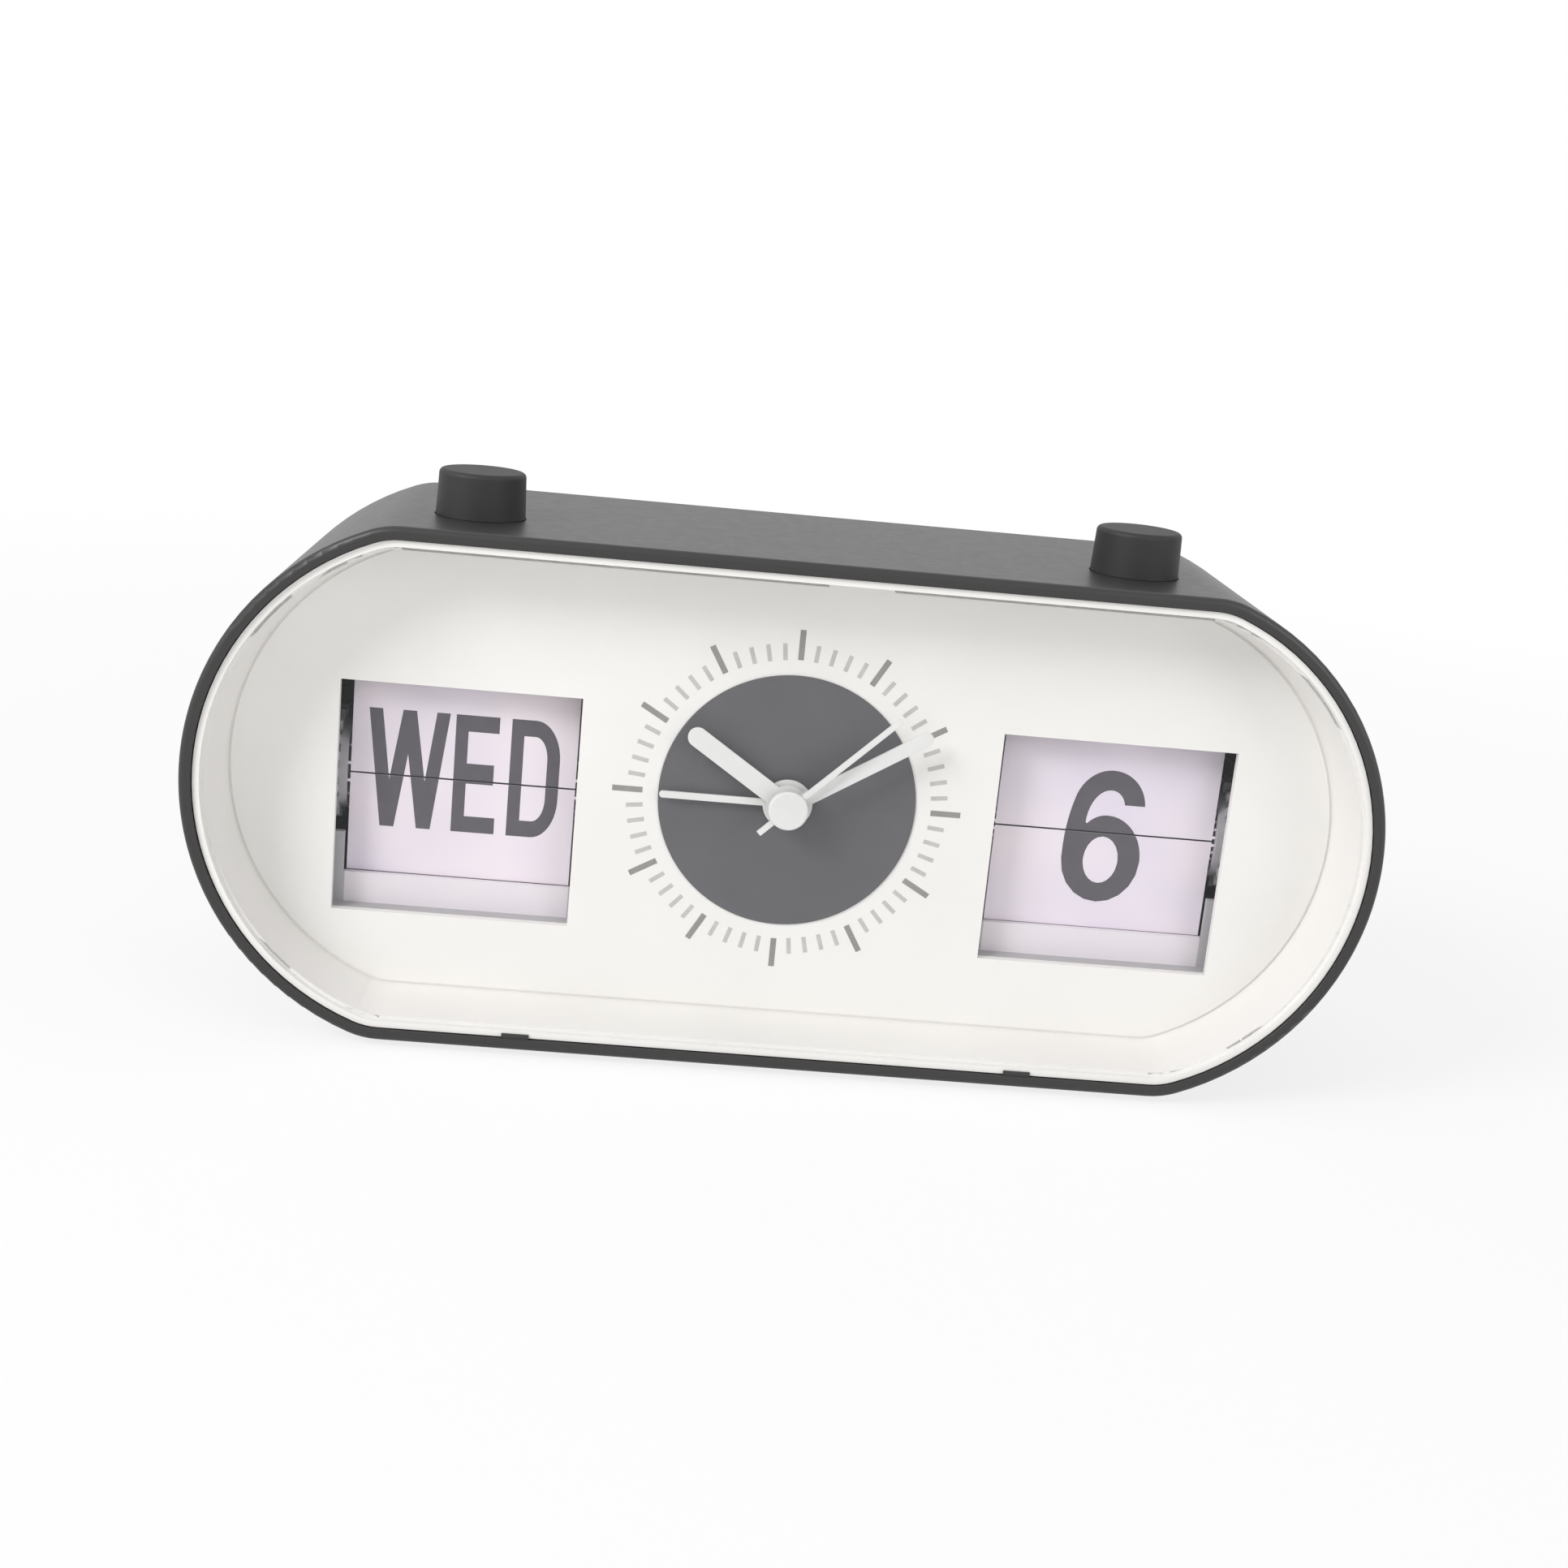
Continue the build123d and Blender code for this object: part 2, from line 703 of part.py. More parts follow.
def make_movement():
    inside = movement_wall + fit_gap
    nodes = {}
    setting_hole = setting_shaft_radius + run_gap
    arbor_hole = arbor_radius + run_gap

    front = slab(movement_outline(inside) - Circle(alarm_radius + run_gap), dial_back, plate_back)
    for x in (motion_x, alarm_x):
        front -= rod(x, 0, setting_hole, dial_back + pivot_seat, plate_back + overreach)
    nodes["movement_front_plate"] = front

    bridge = slab(movement_outline(inside), bridge_front, bridge_back)
    bridge -= rod(0, 0, minute_radius + run_gap, bridge_front - overreach, bridge_back + overreach)
    for z in (third_z, middle_z, rotor_z):
        bridge -= rod(0, z, arbor_hole, bridge_front - overreach, bridge_back + overreach)
    for x in (motion_x, alarm_x):
        bridge -= rod(x, 0, setting_hole, bridge_front - overreach, bridge_back + overreach)
    nodes["train_bridge"] = bridge

    rear = slab(movement_outline(0), dial_back, movement_back)
    rear -= slab(movement_outline(movement_wall), dial_back - overreach, rear_wall_front)
    shelf = movement_outline(0) - movement_outline(inside + movement_shelf)
    rear += slab(shelf, bridge_back, bridge_back + wheel_spacing)
    rear -= rod(0, 0, second_arbor_radius + run_gap, rear_wall_front - overreach, movement_back + overreach)
    for z in (third_z, middle_z, rotor_z):
        rear -= rod(0, z, arbor_hole, rear_wall_front - overreach, movement_back + overreach)
    for x in (motion_x, alarm_x):
        rear -= rod(x, 0, setting_hole, rear_wall_front - overreach, movement_back + overreach)
    for side in (1, -1):
        for end in (1, -1):
            z = ear_z(end)
            inner = side * (movement_width / 2 - movement_wall / 2)
            outer = side * (movement_width / 2 + ear_size)
            rear += block(
                min(inner, outer), max(inner, outer), dial_back, dial_back + ear_thickness,
                z - ear_size / 2, z + ear_size / 2,
            )
            hole_x = side * (movement_width + ear_size) / 2
            hole_back = dial_back + ear_thickness + overreach
            rear -= rod(hole_x, z, screw_hole_radius, dial_back - overreach, hole_back)
    nodes["movement_rear_case"] = rear

    stator_front = rear_wall_front - stator_thickness
    stator_bottom = -movement_drop - movement_height / 2 + movement_wall + fit_gap
    stator_half = coil_length / 2 + stator_margin
    stator_top = rotor_z + stator_rise
    plate = Pos(0, (stator_bottom + stator_top) / 2)
    stator = plate * Rectangle(2 * stator_half, stator_top - stator_bottom)
    stator -= Pos(0, rotor_z) * Circle(rotor_radius + stator_gap)
    nodes["stator"] = slab(stator, stator_front, rear_wall_front)

    coil_size = 2 * (coil_radius + coil_flange_rise)
    coil_z = stator_bottom + coil_size / 2 + seat_gap
    coil_depth = stator_front - coil_size / 2
    core = Pos(coil_depth, coil_z)
    coil = side_slab(core * Circle(coil_radius), -coil_length / 2, coil_length / 2)
    for end in (1, -1):
        middle = end * (coil_length - coil_flange) / 2
        cheek = core * Rectangle(coil_size, coil_size)
        coil += side_slab(cheek, middle - coil_flange / 2, middle + coil_flange / 2)
    nodes["coil"] = coil

    board_z = -movement_drop + movement_height / 2 - movement_wall
    board = block(
        -board_width / 2, board_width / 2, rear_wall_front - board_thickness, rear_wall_front,
        third_z + board_gap, board_z - fit_gap,
    )
    board += block(
        crystal_x - crystal_length / 2, crystal_x + crystal_length / 2,
        rear_wall_front - board_thickness - crystal_size, rear_wall_front - board_thickness,
        board_z - crystal_drop - crystal_size / 2, board_z - crystal_drop + crystal_size / 2,
    )
    nodes["circuit_board"] = board
    return nodes


def leaf_lift(leaves):
    """Height of the first hinge above the middle of the drum."""
    return hinge_radius * math.sin(math.pi / leaves)


def make_leaf(leaves):
    """One leaf standing up with its hinge on the x axis."""
    lift = leaf_lift(leaves)
    low = split_gap / 2 - lift
    high = leaf_reach - lift
    body = Pos(0, (low + high) / 2) * Rectangle(leaf_width, high - low)
    body += Rectangle(leaf_width + 2 * ear_length, ear_width)
    return slab(body, -leaf_thickness / 2, leaf_thickness / 2)


def leaf_place(side, leaves, index):
    """Where one leaf stands at rest: its hinge on the drum and its lean."""
    step = 360.0 / leaves
    hinge = math.radians(step / 2 + index * step)
    if index == 0:
        direction = 90.0
    else:
        direction = 90.0 + step + (index - 1) * (180.0 - step) / (leaves - 2)
    depth = drum_depth - hinge_radius * math.cos(hinge)
    height = axis_z + hinge_radius * math.sin(hinge)
    return Pos(flip_centre(side), depth, height) * Rot(90.0 - direction, 0, 0)


def across(place, inside, outside):
    """Pair of x values on one side of the leaves. A place is the module's side and the piece's side."""
    module, piece = place
    ends = (flip_centre(module) + piece * inside, flip_centre(module) + piece * outside)
    return min(ends), max(ends)


def span(side, outward, inward):
    """Pair of x values from the outer side of a module's leaves to their inner side."""
    ends = (flip_centre(side) + side * outward, flip_centre(side) - side * inward)
    return min(ends), max(ends)


def make_flip_module(name, side, leaves):
    """Drum with its leaves, frame, axle, setting wheel and catch. The gear is on the outer side."""
    outer = (side, side)
    inner = (side, -side)
    centre = Pos(drum_depth, axis_z)
    nodes = {}

    hub = Circle(hub_radius)
    for index in range(leaves):
        angle = math.radians((index + 0.5) * 360.0 / leaves)
        hub -= Pos(-hinge_radius * math.cos(angle), hinge_radius * math.sin(angle)) * Circle(hub_hole_radius)

    drum = side_slab(centre * (hub - Circle(axle_radius + run_gap)), *across(outer, hub_inside, hub_outside))
    drum += side_slab(
        centre * (gear_face(drum_teeth, drum_module, 0) - Circle(axle_radius + run_gap)),
        *across(outer, hub_outside, gear_outside),
    )
    core = Circle(core_radius) - Circle(axle_radius + run_gap)
    drum += side_slab(centre * core, *span(side, hub_inside, hub_outside))
    nodes[name + "_drum"] = drum
    end_disc = hub - Circle(core_radius + press_gap)
    nodes[name + "_drum_end"] = side_slab(centre * end_disc, *across(inner, hub_inside, hub_outside))

    whole = span(side, outer_cheek_outside, inner_cheek_outside)
    nodes[name + "_axle"] = side_slab(centre * Circle(axle_radius), *whole)

    leaf = make_leaf(leaves)
    nodes[name + "_flip_leaf"] = leaf_place(side, leaves, 0) * leaf
    nodes[name + "_leaves"] = group([leaf_place(side, leaves, index) * leaf for index in range(1, leaves)])

    wheel = Pos(wheel_depth, axis_z)
    wheel_face = gear_face(wheel_teeth, drum_module, meshing_turn(wheel_teeth, 180))
    wheel_face -= Circle(thumbwheel_pin_radius + run_gap)
    wheel_ends = across(outer, hub_outside + seat_gap, gear_outside)
    nodes[name + "_thumbwheel"] = side_slab(wheel * wheel_face, *wheel_ends)

    nodes[name + "_frame"] = make_flip_frame(side, outer, inner)

    catch_low = axis_z + leaf_reach + catch_clearance
    catch_x = flip_centre(side)
    catch = block(
        catch_x - catch_width / 2, catch_x + catch_width / 2,
        dial_back, apron_back, catch_low, catch_low + catch_thickness,
    )
    catch += block(
        catch_x - catch_width / 2, catch_x + catch_width / 2,
        dial_back, dial_back + catch_thickness, catch_low, catch_low + catch_foot,
    )
    nodes[name + "_leaf_catch"] = catch
    return nodes


def make_flip_frame(side, outer, inner):
    """Two cheeks joined in front, below the leaves, by an apron, a window sill and a screw flange."""
    top = axis_z + cheek_above
    back = drum_depth + cheek_behind
    hole = Pos(drum_depth, axis_z) * Circle(axle_radius + press_gap)

    def upright(depth_front, depth_back, z_low, z_high):
        middle = Pos((depth_front + depth_back) / 2, (z_low + z_high) / 2)
        return middle * Rectangle(depth_back - depth_front, z_high - z_low)

    inner_face = upright(dial_back, back, frame_bottom, top) - hole
    frame = side_slab(inner_face, *across(inner, inner_cheek_inside, inner_cheek_outside))
    arm_end = wheel_depth + 2 * thumbwheel_pin_radius
    outer_face = upright(dial_back, back, frame_bottom, top) - hole
    outer_face += upright(back - overreach, arm_end, axis_z - cheek_above, top)
    frame += side_slab(outer_face, *across(outer, outer_cheek_inside, outer_cheek_outside))
    pin = Pos(wheel_depth, axis_z) * Circle(thumbwheel_pin_radius)
    frame += side_slab(pin, *across(outer, hub_outside, outer_cheek_outside))

    frame_low, frame_high = span(side, outer_cheek_outside, inner_cheek_outside)
    frame += block(frame_low, frame_high, apron_front, apron_back, frame_bottom, apron_top)
    frame += block(frame_low, frame_high, dial_back, apron_back, frame_bottom, window_bottom)
    horn_high = axis_z - horn_top
    outer_horn = across(outer, leaf_half + side_gap, outer_cheek_outside)
    inner_horn = across(inner, leaf_half + side_gap, inner_cheek_outside)
    for low, high in (outer_horn, inner_horn):
        frame += block(low, high, apron_front, apron_back, frame_bottom, horn_high)
    flange_top = window_bottom - sill_thickness / 2
    flange_low = frame_bottom - flange_height
    flange_half = flange_screw_x + 2 * screw_head_radius
    middle = flip_centre(side)
    frame += block(
        middle - flange_half, middle + flange_half,
        dial_back, dial_back + flange_thickness, flange_low, flange_top,
    )
    for end in (1, -1):
        x = middle + end * flange_screw_x
        hole_back = dial_back + flange_thickness + overreach
        frame -= rod(x, flange_middle(), screw_hole_radius, dial_back - overreach, hole_back)
    return frame


def make_inner_screws():
    """All the small screws: behind the dial, and up into the posts over the switch boards."""
    screws = []
    head_front = dial_back + ear_thickness
    for x, z in inner_screw_places():
        screw = rod(x, z, screw_radius, dial_back - screw_bite + seat_gap, head_front)
        screws.append(screw + rod(x, z, screw_head_radius, head_front, head_front + screw_head_height))
    for side in (1, -1):
        for end in (1, -1):
            place = Pos(side * button_x + end * post_spacing / 2, stem_depth)
            screw = column(place * Circle(screw_radius), board_bottom, board_top + post_screw_bite)
            head = column(place * Circle(screw_head_radius), board_bottom - screw_head_height, board_bottom)
            screws.append(screw + head)
    return group(screws)


def make_button(side):
    """Round button with a stem through the case and a flange that keeps it in."""
    cap_place = Plane.XY.offset(half_height) * Pos(side * button_x, button_depth)
    foot = cap_place * Circle(button_radius)
    crown = Pos(0, 0, button_height) * (cap_place * Circle(button_top_radius))
    cap = loft([foot, crown], ruled=True)
    cap = fillet(cap.faces().sort_by(Axis.Z)[-1].edges(), button_edge_round)
    stem = Pos(side * button_x, stem_depth)
    cap += column(stem * Circle(stem_radius), button_flange_bottom, half_height + overreach)
    cap += column(stem * Circle(flange_radius), button_flange_bottom, button_flange_top)
    return cap + column(stem * Circle(tip_radius), tip_bottom, button_flange_top)


def coil_spring(radius, wire_radius, length, turns):
    """Open coil along z, its wire starting and ending inside the given length."""
    rise = length - 2 * wire_radius
    path = Helix(pitch=rise / turns, height=rise, radius=radius)
    face = Plane(origin=path @ 0, z_dir=path % 0) * Circle(wire_radius)
    return Pos(0, 0, wire_radius) * sweep(face, path=path, is_frenet=True)


def make_button_spring(side):
    length = button_flange_bottom - board_top - 2 * seat_gap
    spring = coil_spring(spring_radius, spring_wire_radius, length, spring_turns)
    return Pos(side * button_x, stem_depth, board_top + seat_gap) * spring


def make_switch_parts():
    boards = []
    switches = []
    for side in (1, -1):
        place = Pos(side * button_x, stem_depth)
        board = column(
            place * Rectangle(switch_board_length, switch_board_width), board_bottom, board_top,
        )
        for end in (1, -1):
            hole = Pos(side * button_x + end * post_spacing / 2, stem_depth) * Circle(screw_hole_radius)
            board -= column(hole, board_bottom - overreach, board_top + overreach)
        boards.append(board)
        body_top = board_top + switch_body_height
        switch = column(place * Rectangle(switch_size, switch_size), board_top, body_top)
        switches.append(switch + column(place * Circle(plunger_radius), board_top, plunger_top))
    return {"switch_boards": group(boards), "button_switches": group(switches)}


def make_knob(x):
    """Round knob with scooped grips, pressed on its setting shaft."""
    outline = Circle(knob_radius)
    for grip in range(knob_grips):
        angle = 360.0 * grip / knob_grips
        grip_place = Pos(knob_radius + knob_grip_radius - knob_grip_depth, 0)
        outline -= Rot(0, 0, angle) * grip_place * Circle(knob_grip_radius)
    knob = slab(Pos(x, 0) * outline, knob_front, knob_back)
    bore_back = knob_back - knob_cap + seat_gap
    return knob - rod(x, 0, setting_shaft_radius + press_gap, knob_front - overreach, bore_back)


def slot_half_height():
    """Half height of the opening that lets a setting wheel out through the cover."""
    drop = cover_front - wheel_depth
    return math.sqrt(wheel_tip_radius ** 2 - drop ** 2) + slot_clearance


def cover_hole(x, z, radius):
    """Round hole through the cover."""
    return rod(x, z, radius, cover_front - overreach, cover_back + overreach)


def make_rear_cover():
    cover = slab(case_outline(lip_width + fit_gap), cover_front, cover_back)
    for side in (1, -1):
        low, high = across((side, side), hub_outside - slot_clearance, gear_outside + slot_clearance)
        half = slot_half_height()
        cover -= block(
            low, high, cover_front - overreach, cover_back + overreach, axis_z - half, axis_z + half,
        )
        for level in (1, -1):
            x = side * rear_screw_x
            z = level * rear_screw_z
            head_front = cover_back - rear_head_height
            cover -= cover_hole(x, z, rear_screw_hole_radius + fit_gap)
            cover -= rod(x, z, rear_head_radius + fit_gap, head_front, cover_back + overreach)
    for x in (motion_x, alarm_x):
        cover -= cover_hole(x, 0, setting_shaft_radius + 2 * fit_gap)
    cover -= cover_hole(0, sounder_z, sound_hole_radius)
    for hole in range(sound_hole_count):
        angle = 2 * math.pi * hole / sound_hole_count
        x = sound_hole_ring * math.cos(angle)
        z = sounder_z + sound_hole_ring * math.sin(angle)
        cover -= cover_hole(x, z, sound_hole_radius)
    cover -= block(
        -opening_half_length, opening_half_length, cover_front - overreach, cover_back + overreach,
        cell_z - bay_half_height, cell_z + bay_half_height,
    )
    cover -= block(
        -opening_half_length - door_seat, opening_half_length + door_seat,
        cover_back - door_thickness, cover_back + overreach,
        cell_z - bay_half_height - door_seat, cell_z + bay_half_height + door_seat,
    )
    return cover


def make_battery_door():
    half_length = opening_half_length + door_seat - door_gap
    half_width = bay_half_height + door_seat - door_gap
    door = block(
        -half_length, half_length, cover_back - door_thickness, cover_back,
        cell_z - half_width, cell_z + half_width,
    )
    for grip in range(door_grip_count):
        z = cell_z + (grip - (door_grip_count - 1) / 2) * door_grip_pitch
        door -= block(
            -door_grip_length / 2, door_grip_length / 2, cover_back - door_grip_depth, cover_back + overreach,
            z - door_grip_width / 2, z + door_grip_width / 2,
        )
    return door


def make_rear_screws():
    screws = []
    for side in (1, -1):
        for level in (1, -1):
            x = side * rear_screw_x
            z = level * rear_screw_z
            head_front = cover_back - rear_head_height
            screw = rod(x, z, rear_screw_radius, cover_front - rear_screw_length + seat_gap, head_front)
            screw += rod(x, z, rear_head_radius, head_front, cover_back)
            for length, width in ((cross_length, cross_width), (cross_width, cross_length)):
                slot = Pos(x, z) * Rectangle(length, width)
                screw -= slab(slot, cover_back - cross_depth, cover_back + overreach)
            screws.append(screw)
    return group(screws)


def make_sounder():
    can = rod(0, sounder_z, sounder_radius, cover_front - sounder_thickness, cover_front)
    dish_front = cover_front - sounder_dish
    return can - rod(0, sounder_z, sounder_radius - sounder_rim, dish_front, cover_front + overreach)


def make_battery_parts():
    nodes = {}
    holder = block(
        -bay_half_length - holder_wall, bay_half_length + holder_wall,
        bay_front - holder_wall, cover_front,
        cell_z - bay_half_height - holder_wall, cell_z + bay_half_height + holder_wall,
    )
    holder -= block(
        -bay_half_length, bay_half_length, bay_front, cover_front + overreach,
        cell_z - bay_half_height, cell_z + bay_half_height,
    )
    nodes["battery_holder"] = holder

    place = Pos(cell_depth, cell_z)
    spring_end = -bay_half_length + contact_thickness
    cell_low = spring_end + contact_spring_length
    cell_high = cell_low + cell_length
    cell = side_slab(place * Circle(cell_radius), cell_low, cell_high)
    cell += side_slab(place * Circle(cell_nub_radius), cell_low, cell_high + cell_nub_length)
    nodes["battery_cell"] = cell

    contact = place * Rectangle(2 * (cell_radius - contact_inset), 2 * (cell_radius - contact_inset))
    plus = side_slab(contact, bay_half_length - contact_thickness, bay_half_length)
    nodes["battery_contact_plate"] = plus
    minus = side_slab(contact, -bay_half_length, spring_end)
    wire = coil_spring(
        contact_spring_radius, contact_wire_radius, contact_spring_length, contact_spring_turns,
    )
    coil = Pos(spring_end - contact_sink, cell_depth, cell_z) * Rot(0, 90, 0) * wire
    nodes["battery_contact_spring"] = minus + coil
    return nodes


def make_rubber_feet():
    feet = []
    for side in (1, -1):
        for depth in (foot_front, foot_rear):
            foot = Pos(side * foot_x, depth) * Circle(foot_radius)
            feet.append(column(foot, -half_height - foot_height, -half_height))
    return group(feet)


def build_nodes():
    nodes = {
        "case_shell": make_case_shell(),
        "front_lens": make_front_lens(),
        "inner_bezel": make_inner_bezel(),
        "dial_plate": make_dial_plate(),
        "dial_centre_disc": make_dial_centre_disc(),
        "rear_cover": make_rear_cover(),
        "rear_screws": make_rear_screws(),
        "battery_door": make_battery_door(),
        "rubber_feet": make_rubber_feet(),
        "sounder": make_sounder(),
        "inner_screws": make_inner_screws(),
        "time_set_knob": make_knob(motion_x),
        "alarm_set_knob": make_knob(alarm_x),
    }
    for name, side in (("alarm", -1), ("snooze", 1)):
        nodes[name + "_button"] = make_button(side)
        nodes[name + "_button_spring"] = make_button_spring(side)
    nodes.update(make_switch_parts())
    nodes.update(make_hands())
    nodes.update(make_wheels())
    nodes.update(make_movement())
    nodes.update(make_battery_parts())
    nodes.update(make_flip_module("day", -1, day_leaves))
    nodes.update(make_flip_module("date", 1, date_leaves))
    return nodes


def main():
    os.makedirs("parts", exist_ok=True)
    on_feet = Pos(0, -total_depth / 2, half_height + foot_height)
    for name, shape in build_nodes().items():
        export_step(on_feet * shape, "parts/" + name + ".step")


if __name__ == "__main__":
    main()
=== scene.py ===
"""Looks of the table alarm clock with a flip calendar: camera, light, materials and printing."""

import json
import math

import bmesh
import bpy
from mathutils import Matrix, Vector


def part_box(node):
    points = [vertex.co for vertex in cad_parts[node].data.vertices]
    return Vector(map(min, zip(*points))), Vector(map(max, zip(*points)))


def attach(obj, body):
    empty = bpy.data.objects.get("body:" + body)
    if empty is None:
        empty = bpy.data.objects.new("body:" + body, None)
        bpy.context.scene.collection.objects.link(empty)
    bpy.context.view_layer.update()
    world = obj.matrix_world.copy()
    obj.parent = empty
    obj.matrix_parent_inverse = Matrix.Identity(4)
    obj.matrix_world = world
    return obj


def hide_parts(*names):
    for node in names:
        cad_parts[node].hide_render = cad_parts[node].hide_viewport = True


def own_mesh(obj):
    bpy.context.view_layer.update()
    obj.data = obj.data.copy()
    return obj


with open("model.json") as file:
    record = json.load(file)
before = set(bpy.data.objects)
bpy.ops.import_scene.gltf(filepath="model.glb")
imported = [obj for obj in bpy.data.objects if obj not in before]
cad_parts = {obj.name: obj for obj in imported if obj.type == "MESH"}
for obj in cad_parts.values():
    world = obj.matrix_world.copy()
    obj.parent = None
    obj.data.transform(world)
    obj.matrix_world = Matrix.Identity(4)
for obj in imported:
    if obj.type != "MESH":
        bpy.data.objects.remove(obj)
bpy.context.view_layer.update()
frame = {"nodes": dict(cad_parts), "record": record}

# Length unit: sizes below are written in millimetres, except under a heading that says metres
mm = 0.001

# Camera of the photo: angles in radians, from an origin on the front rim at the case's middle height
photo_pixels = 1932
focal_pixels = 2638.70
sensor_width = 36.0
nearest_seen = 10.0
camera_yaw = 0.0612
camera_pitch = 0.2583
camera_roll = 0.0974
camera_shift = Vector((1.0356, 6.7213, 354.6714))

# That origin in the row frame, in metres
case_low, case_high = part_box("case_shell")
rim_depth = case_low[1]
middle_height = (case_low[2] + case_high[2]) / 2

# Lamps and room light, with places and widths in metres and power in watts
lamp_target = Vector((0.0, -0.02, 0.04))
lamps = {
    "key": {"place": Vector((-0.85, -0.66, 0.76)), "width": 0.6, "power": 10.8},
    "fill": {"place": Vector((0.8, -0.8, 0.45)), "width": 0.7, "power": 3.0},
}
room_light = 0.5

# Floor in metres, with the share of plain white that it shows in the middle
floor_half = 6.0
fade_start = 0.1
fade_end = 0.6
white_in_middle = 0.8

# Colours, as red, green and blue
white = (1.0, 1.0, 1.0)
floor_white = (0.92, 0.92, 0.92)
case_black = (0.026, 0.0255, 0.025)
button_black = (0.014, 0.014, 0.015)
rubber_black = (0.02, 0.02, 0.02)
dial_white = (0.84, 0.825, 0.80)
disc_grey = (0.100, 0.098, 0.107)
hand_white = (0.74, 0.74, 0.73)
hour_ink_grey = (0.27, 0.26, 0.25)
minute_ink_grey = (0.52, 0.50, 0.48)
leaf_ink_grey = (0.09, 0.083, 0.097)
leaf_lavender = (0.73, 0.67, 0.77)
leaf_pink = (0.86, 0.78, 0.83)
frame_lavender = (0.74, 0.70, 0.75)
frame_pink = (0.79, 0.74, 0.78)
# Painted shade: grey for the frames' sills, which stand in shadow
sill_shade_grey = (0.44, 0.43, 0.445)
# Painted shade: grey for the frames beside the leaves, where the gaps lie in shadow
side_shade_grey = (0.46, 0.45, 0.47)
drum_grey = (0.42, 0.41, 0.43)
movement_grey = (0.62, 0.61, 0.62)
gear_cream = (0.78, 0.76, 0.70)
steel_grey = (0.62, 0.62, 0.63)
brass_yellow = (0.66, 0.5, 0.22)
copper_dark = (0.30, 0.11, 0.04)
copper_bright = (0.72, 0.34, 0.16)
board_green = (0.03, 0.16, 0.06)
cell_grey = (0.2, 0.21, 0.23)
lens_cool = (0.90, 0.93, 0.94)
lens_pale = (0.95, 0.97, 0.98)

# Numbers that the materials share
noise_low = 0.3
noise_high = 0.7
bevel_samples = 4
flat_cosine = 0.99
edge_cosine = 0.75
cloud_detail = 4.0
grain_detail = 2.0
plastic_cloud_size = 24.0
plastic_gloss_size = 2.0
plastic_grain_size = 0.3
plastic_grain_depth = 0.004

# Sockets of a mix node that take its amount and its two colours, and that give the result
mix_amount = 0
mix_first = 6
mix_second = 7
mix_result = 2

# Dial printing
dial_front = 14.3
print_thickness = 0.03
tick_count = 60
hour_every = 5
hour_tick = {"inner": 24.9, "outer": 30.1, "width": 1.0}
minute_tick = {"inner": 24.8, "outer": 27.7, "width": 0.75}

# Calendar leaves and their frames, as they stand at rest
day_x = -56.0
date_x = 56.7
split_z = -2.6
split_gap = 0.3
leaf_half = 19.4
leaf_thickness = 0.15
day_leaf_count = 14
date_leaf_count = 31
drum_depth = 27.2
hinge_radius = 7.0
# Depth up to which the frames' upward faces get the painted sill shade
sill_back = 18.8
# Width over which the painted shade beside the leaves fades in
side_blend = 0.2

# Words and figures on the leaves
letter_height = 21.0
stem = 2.2
bar = 2.9
arc_steps = 10
today_gaps = (1.0, 2.1)
tomorrow_gaps = (1.7, 2.1)
day_text_shift = -0.1
day_text_rise = 1.2
date_text_rise = -0.7
ink_thickness = 0.008


def row_point(x, depth, z):
    """Point of the row frame, in metres, from millimetres behind the front rim and above the middle."""
    return Vector((x * mm, depth * mm + rim_depth, z * mm + middle_height))


def turn_about_x(angle):
    return Matrix.Rotation(angle, 4, "X")


def add_object(name, data):
    """New object in the scene."""
    item = bpy.data.objects.new(name, data)
    bpy.context.scene.collection.objects.link(item)
    return item


def mesh_data(name, mesh):
    """Mesh for an object, from one that was built up and is then freed."""
    data = bpy.data.meshes.new(name)
    mesh.to_mesh(data)
    mesh.free()
    return data


def set_camera():
    """Camera at the photo's place, from the fitted angles."""
    base = Matrix(((1, 0, 0), (0, 0, -1), (0, 1, 0)))
    yaw = Matrix.Rotation(camera_yaw, 3, "Z")
    pitch = Matrix.Rotation(camera_pitch, 3, "X")
    roll = Matrix.Rotation(camera_roll, 3, "Z")
    to_view = roll @ pitch @ base @ yaw
    centre = -(to_view.transposed() @ camera_shift)
    axes = Matrix((to_view[0], -to_view[1], -to_view[2])).transposed()
    data = bpy.data.cameras.new("photo_camera")
    data.sensor_width = sensor_width
    data.lens = sensor_width * focal_pixels / photo_pixels
    data.clip_start = nearest_seen * mm
    camera = add_object("photo_camera", data)
    camera.matrix_world = Matrix.Translation(row_point(*centre)) @ axes.to_4x4()
    bpy.context.scene.camera = camera


def set_lamps():
    """Round soft lamps, turned to the clock."""
    for name, lamp in lamps.items():
        data = bpy.data.lights.new(name, "AREA")
        data.shape = "DISK"
        data.size = lamp["width"]
        data.energy = lamp["power"]
        light = add_object(name, data)
        light.location = lamp["place"]
        light.rotation_euler = (lamp_target - lamp["place"]).to_track_quat("-Z", "Y").to_euler()


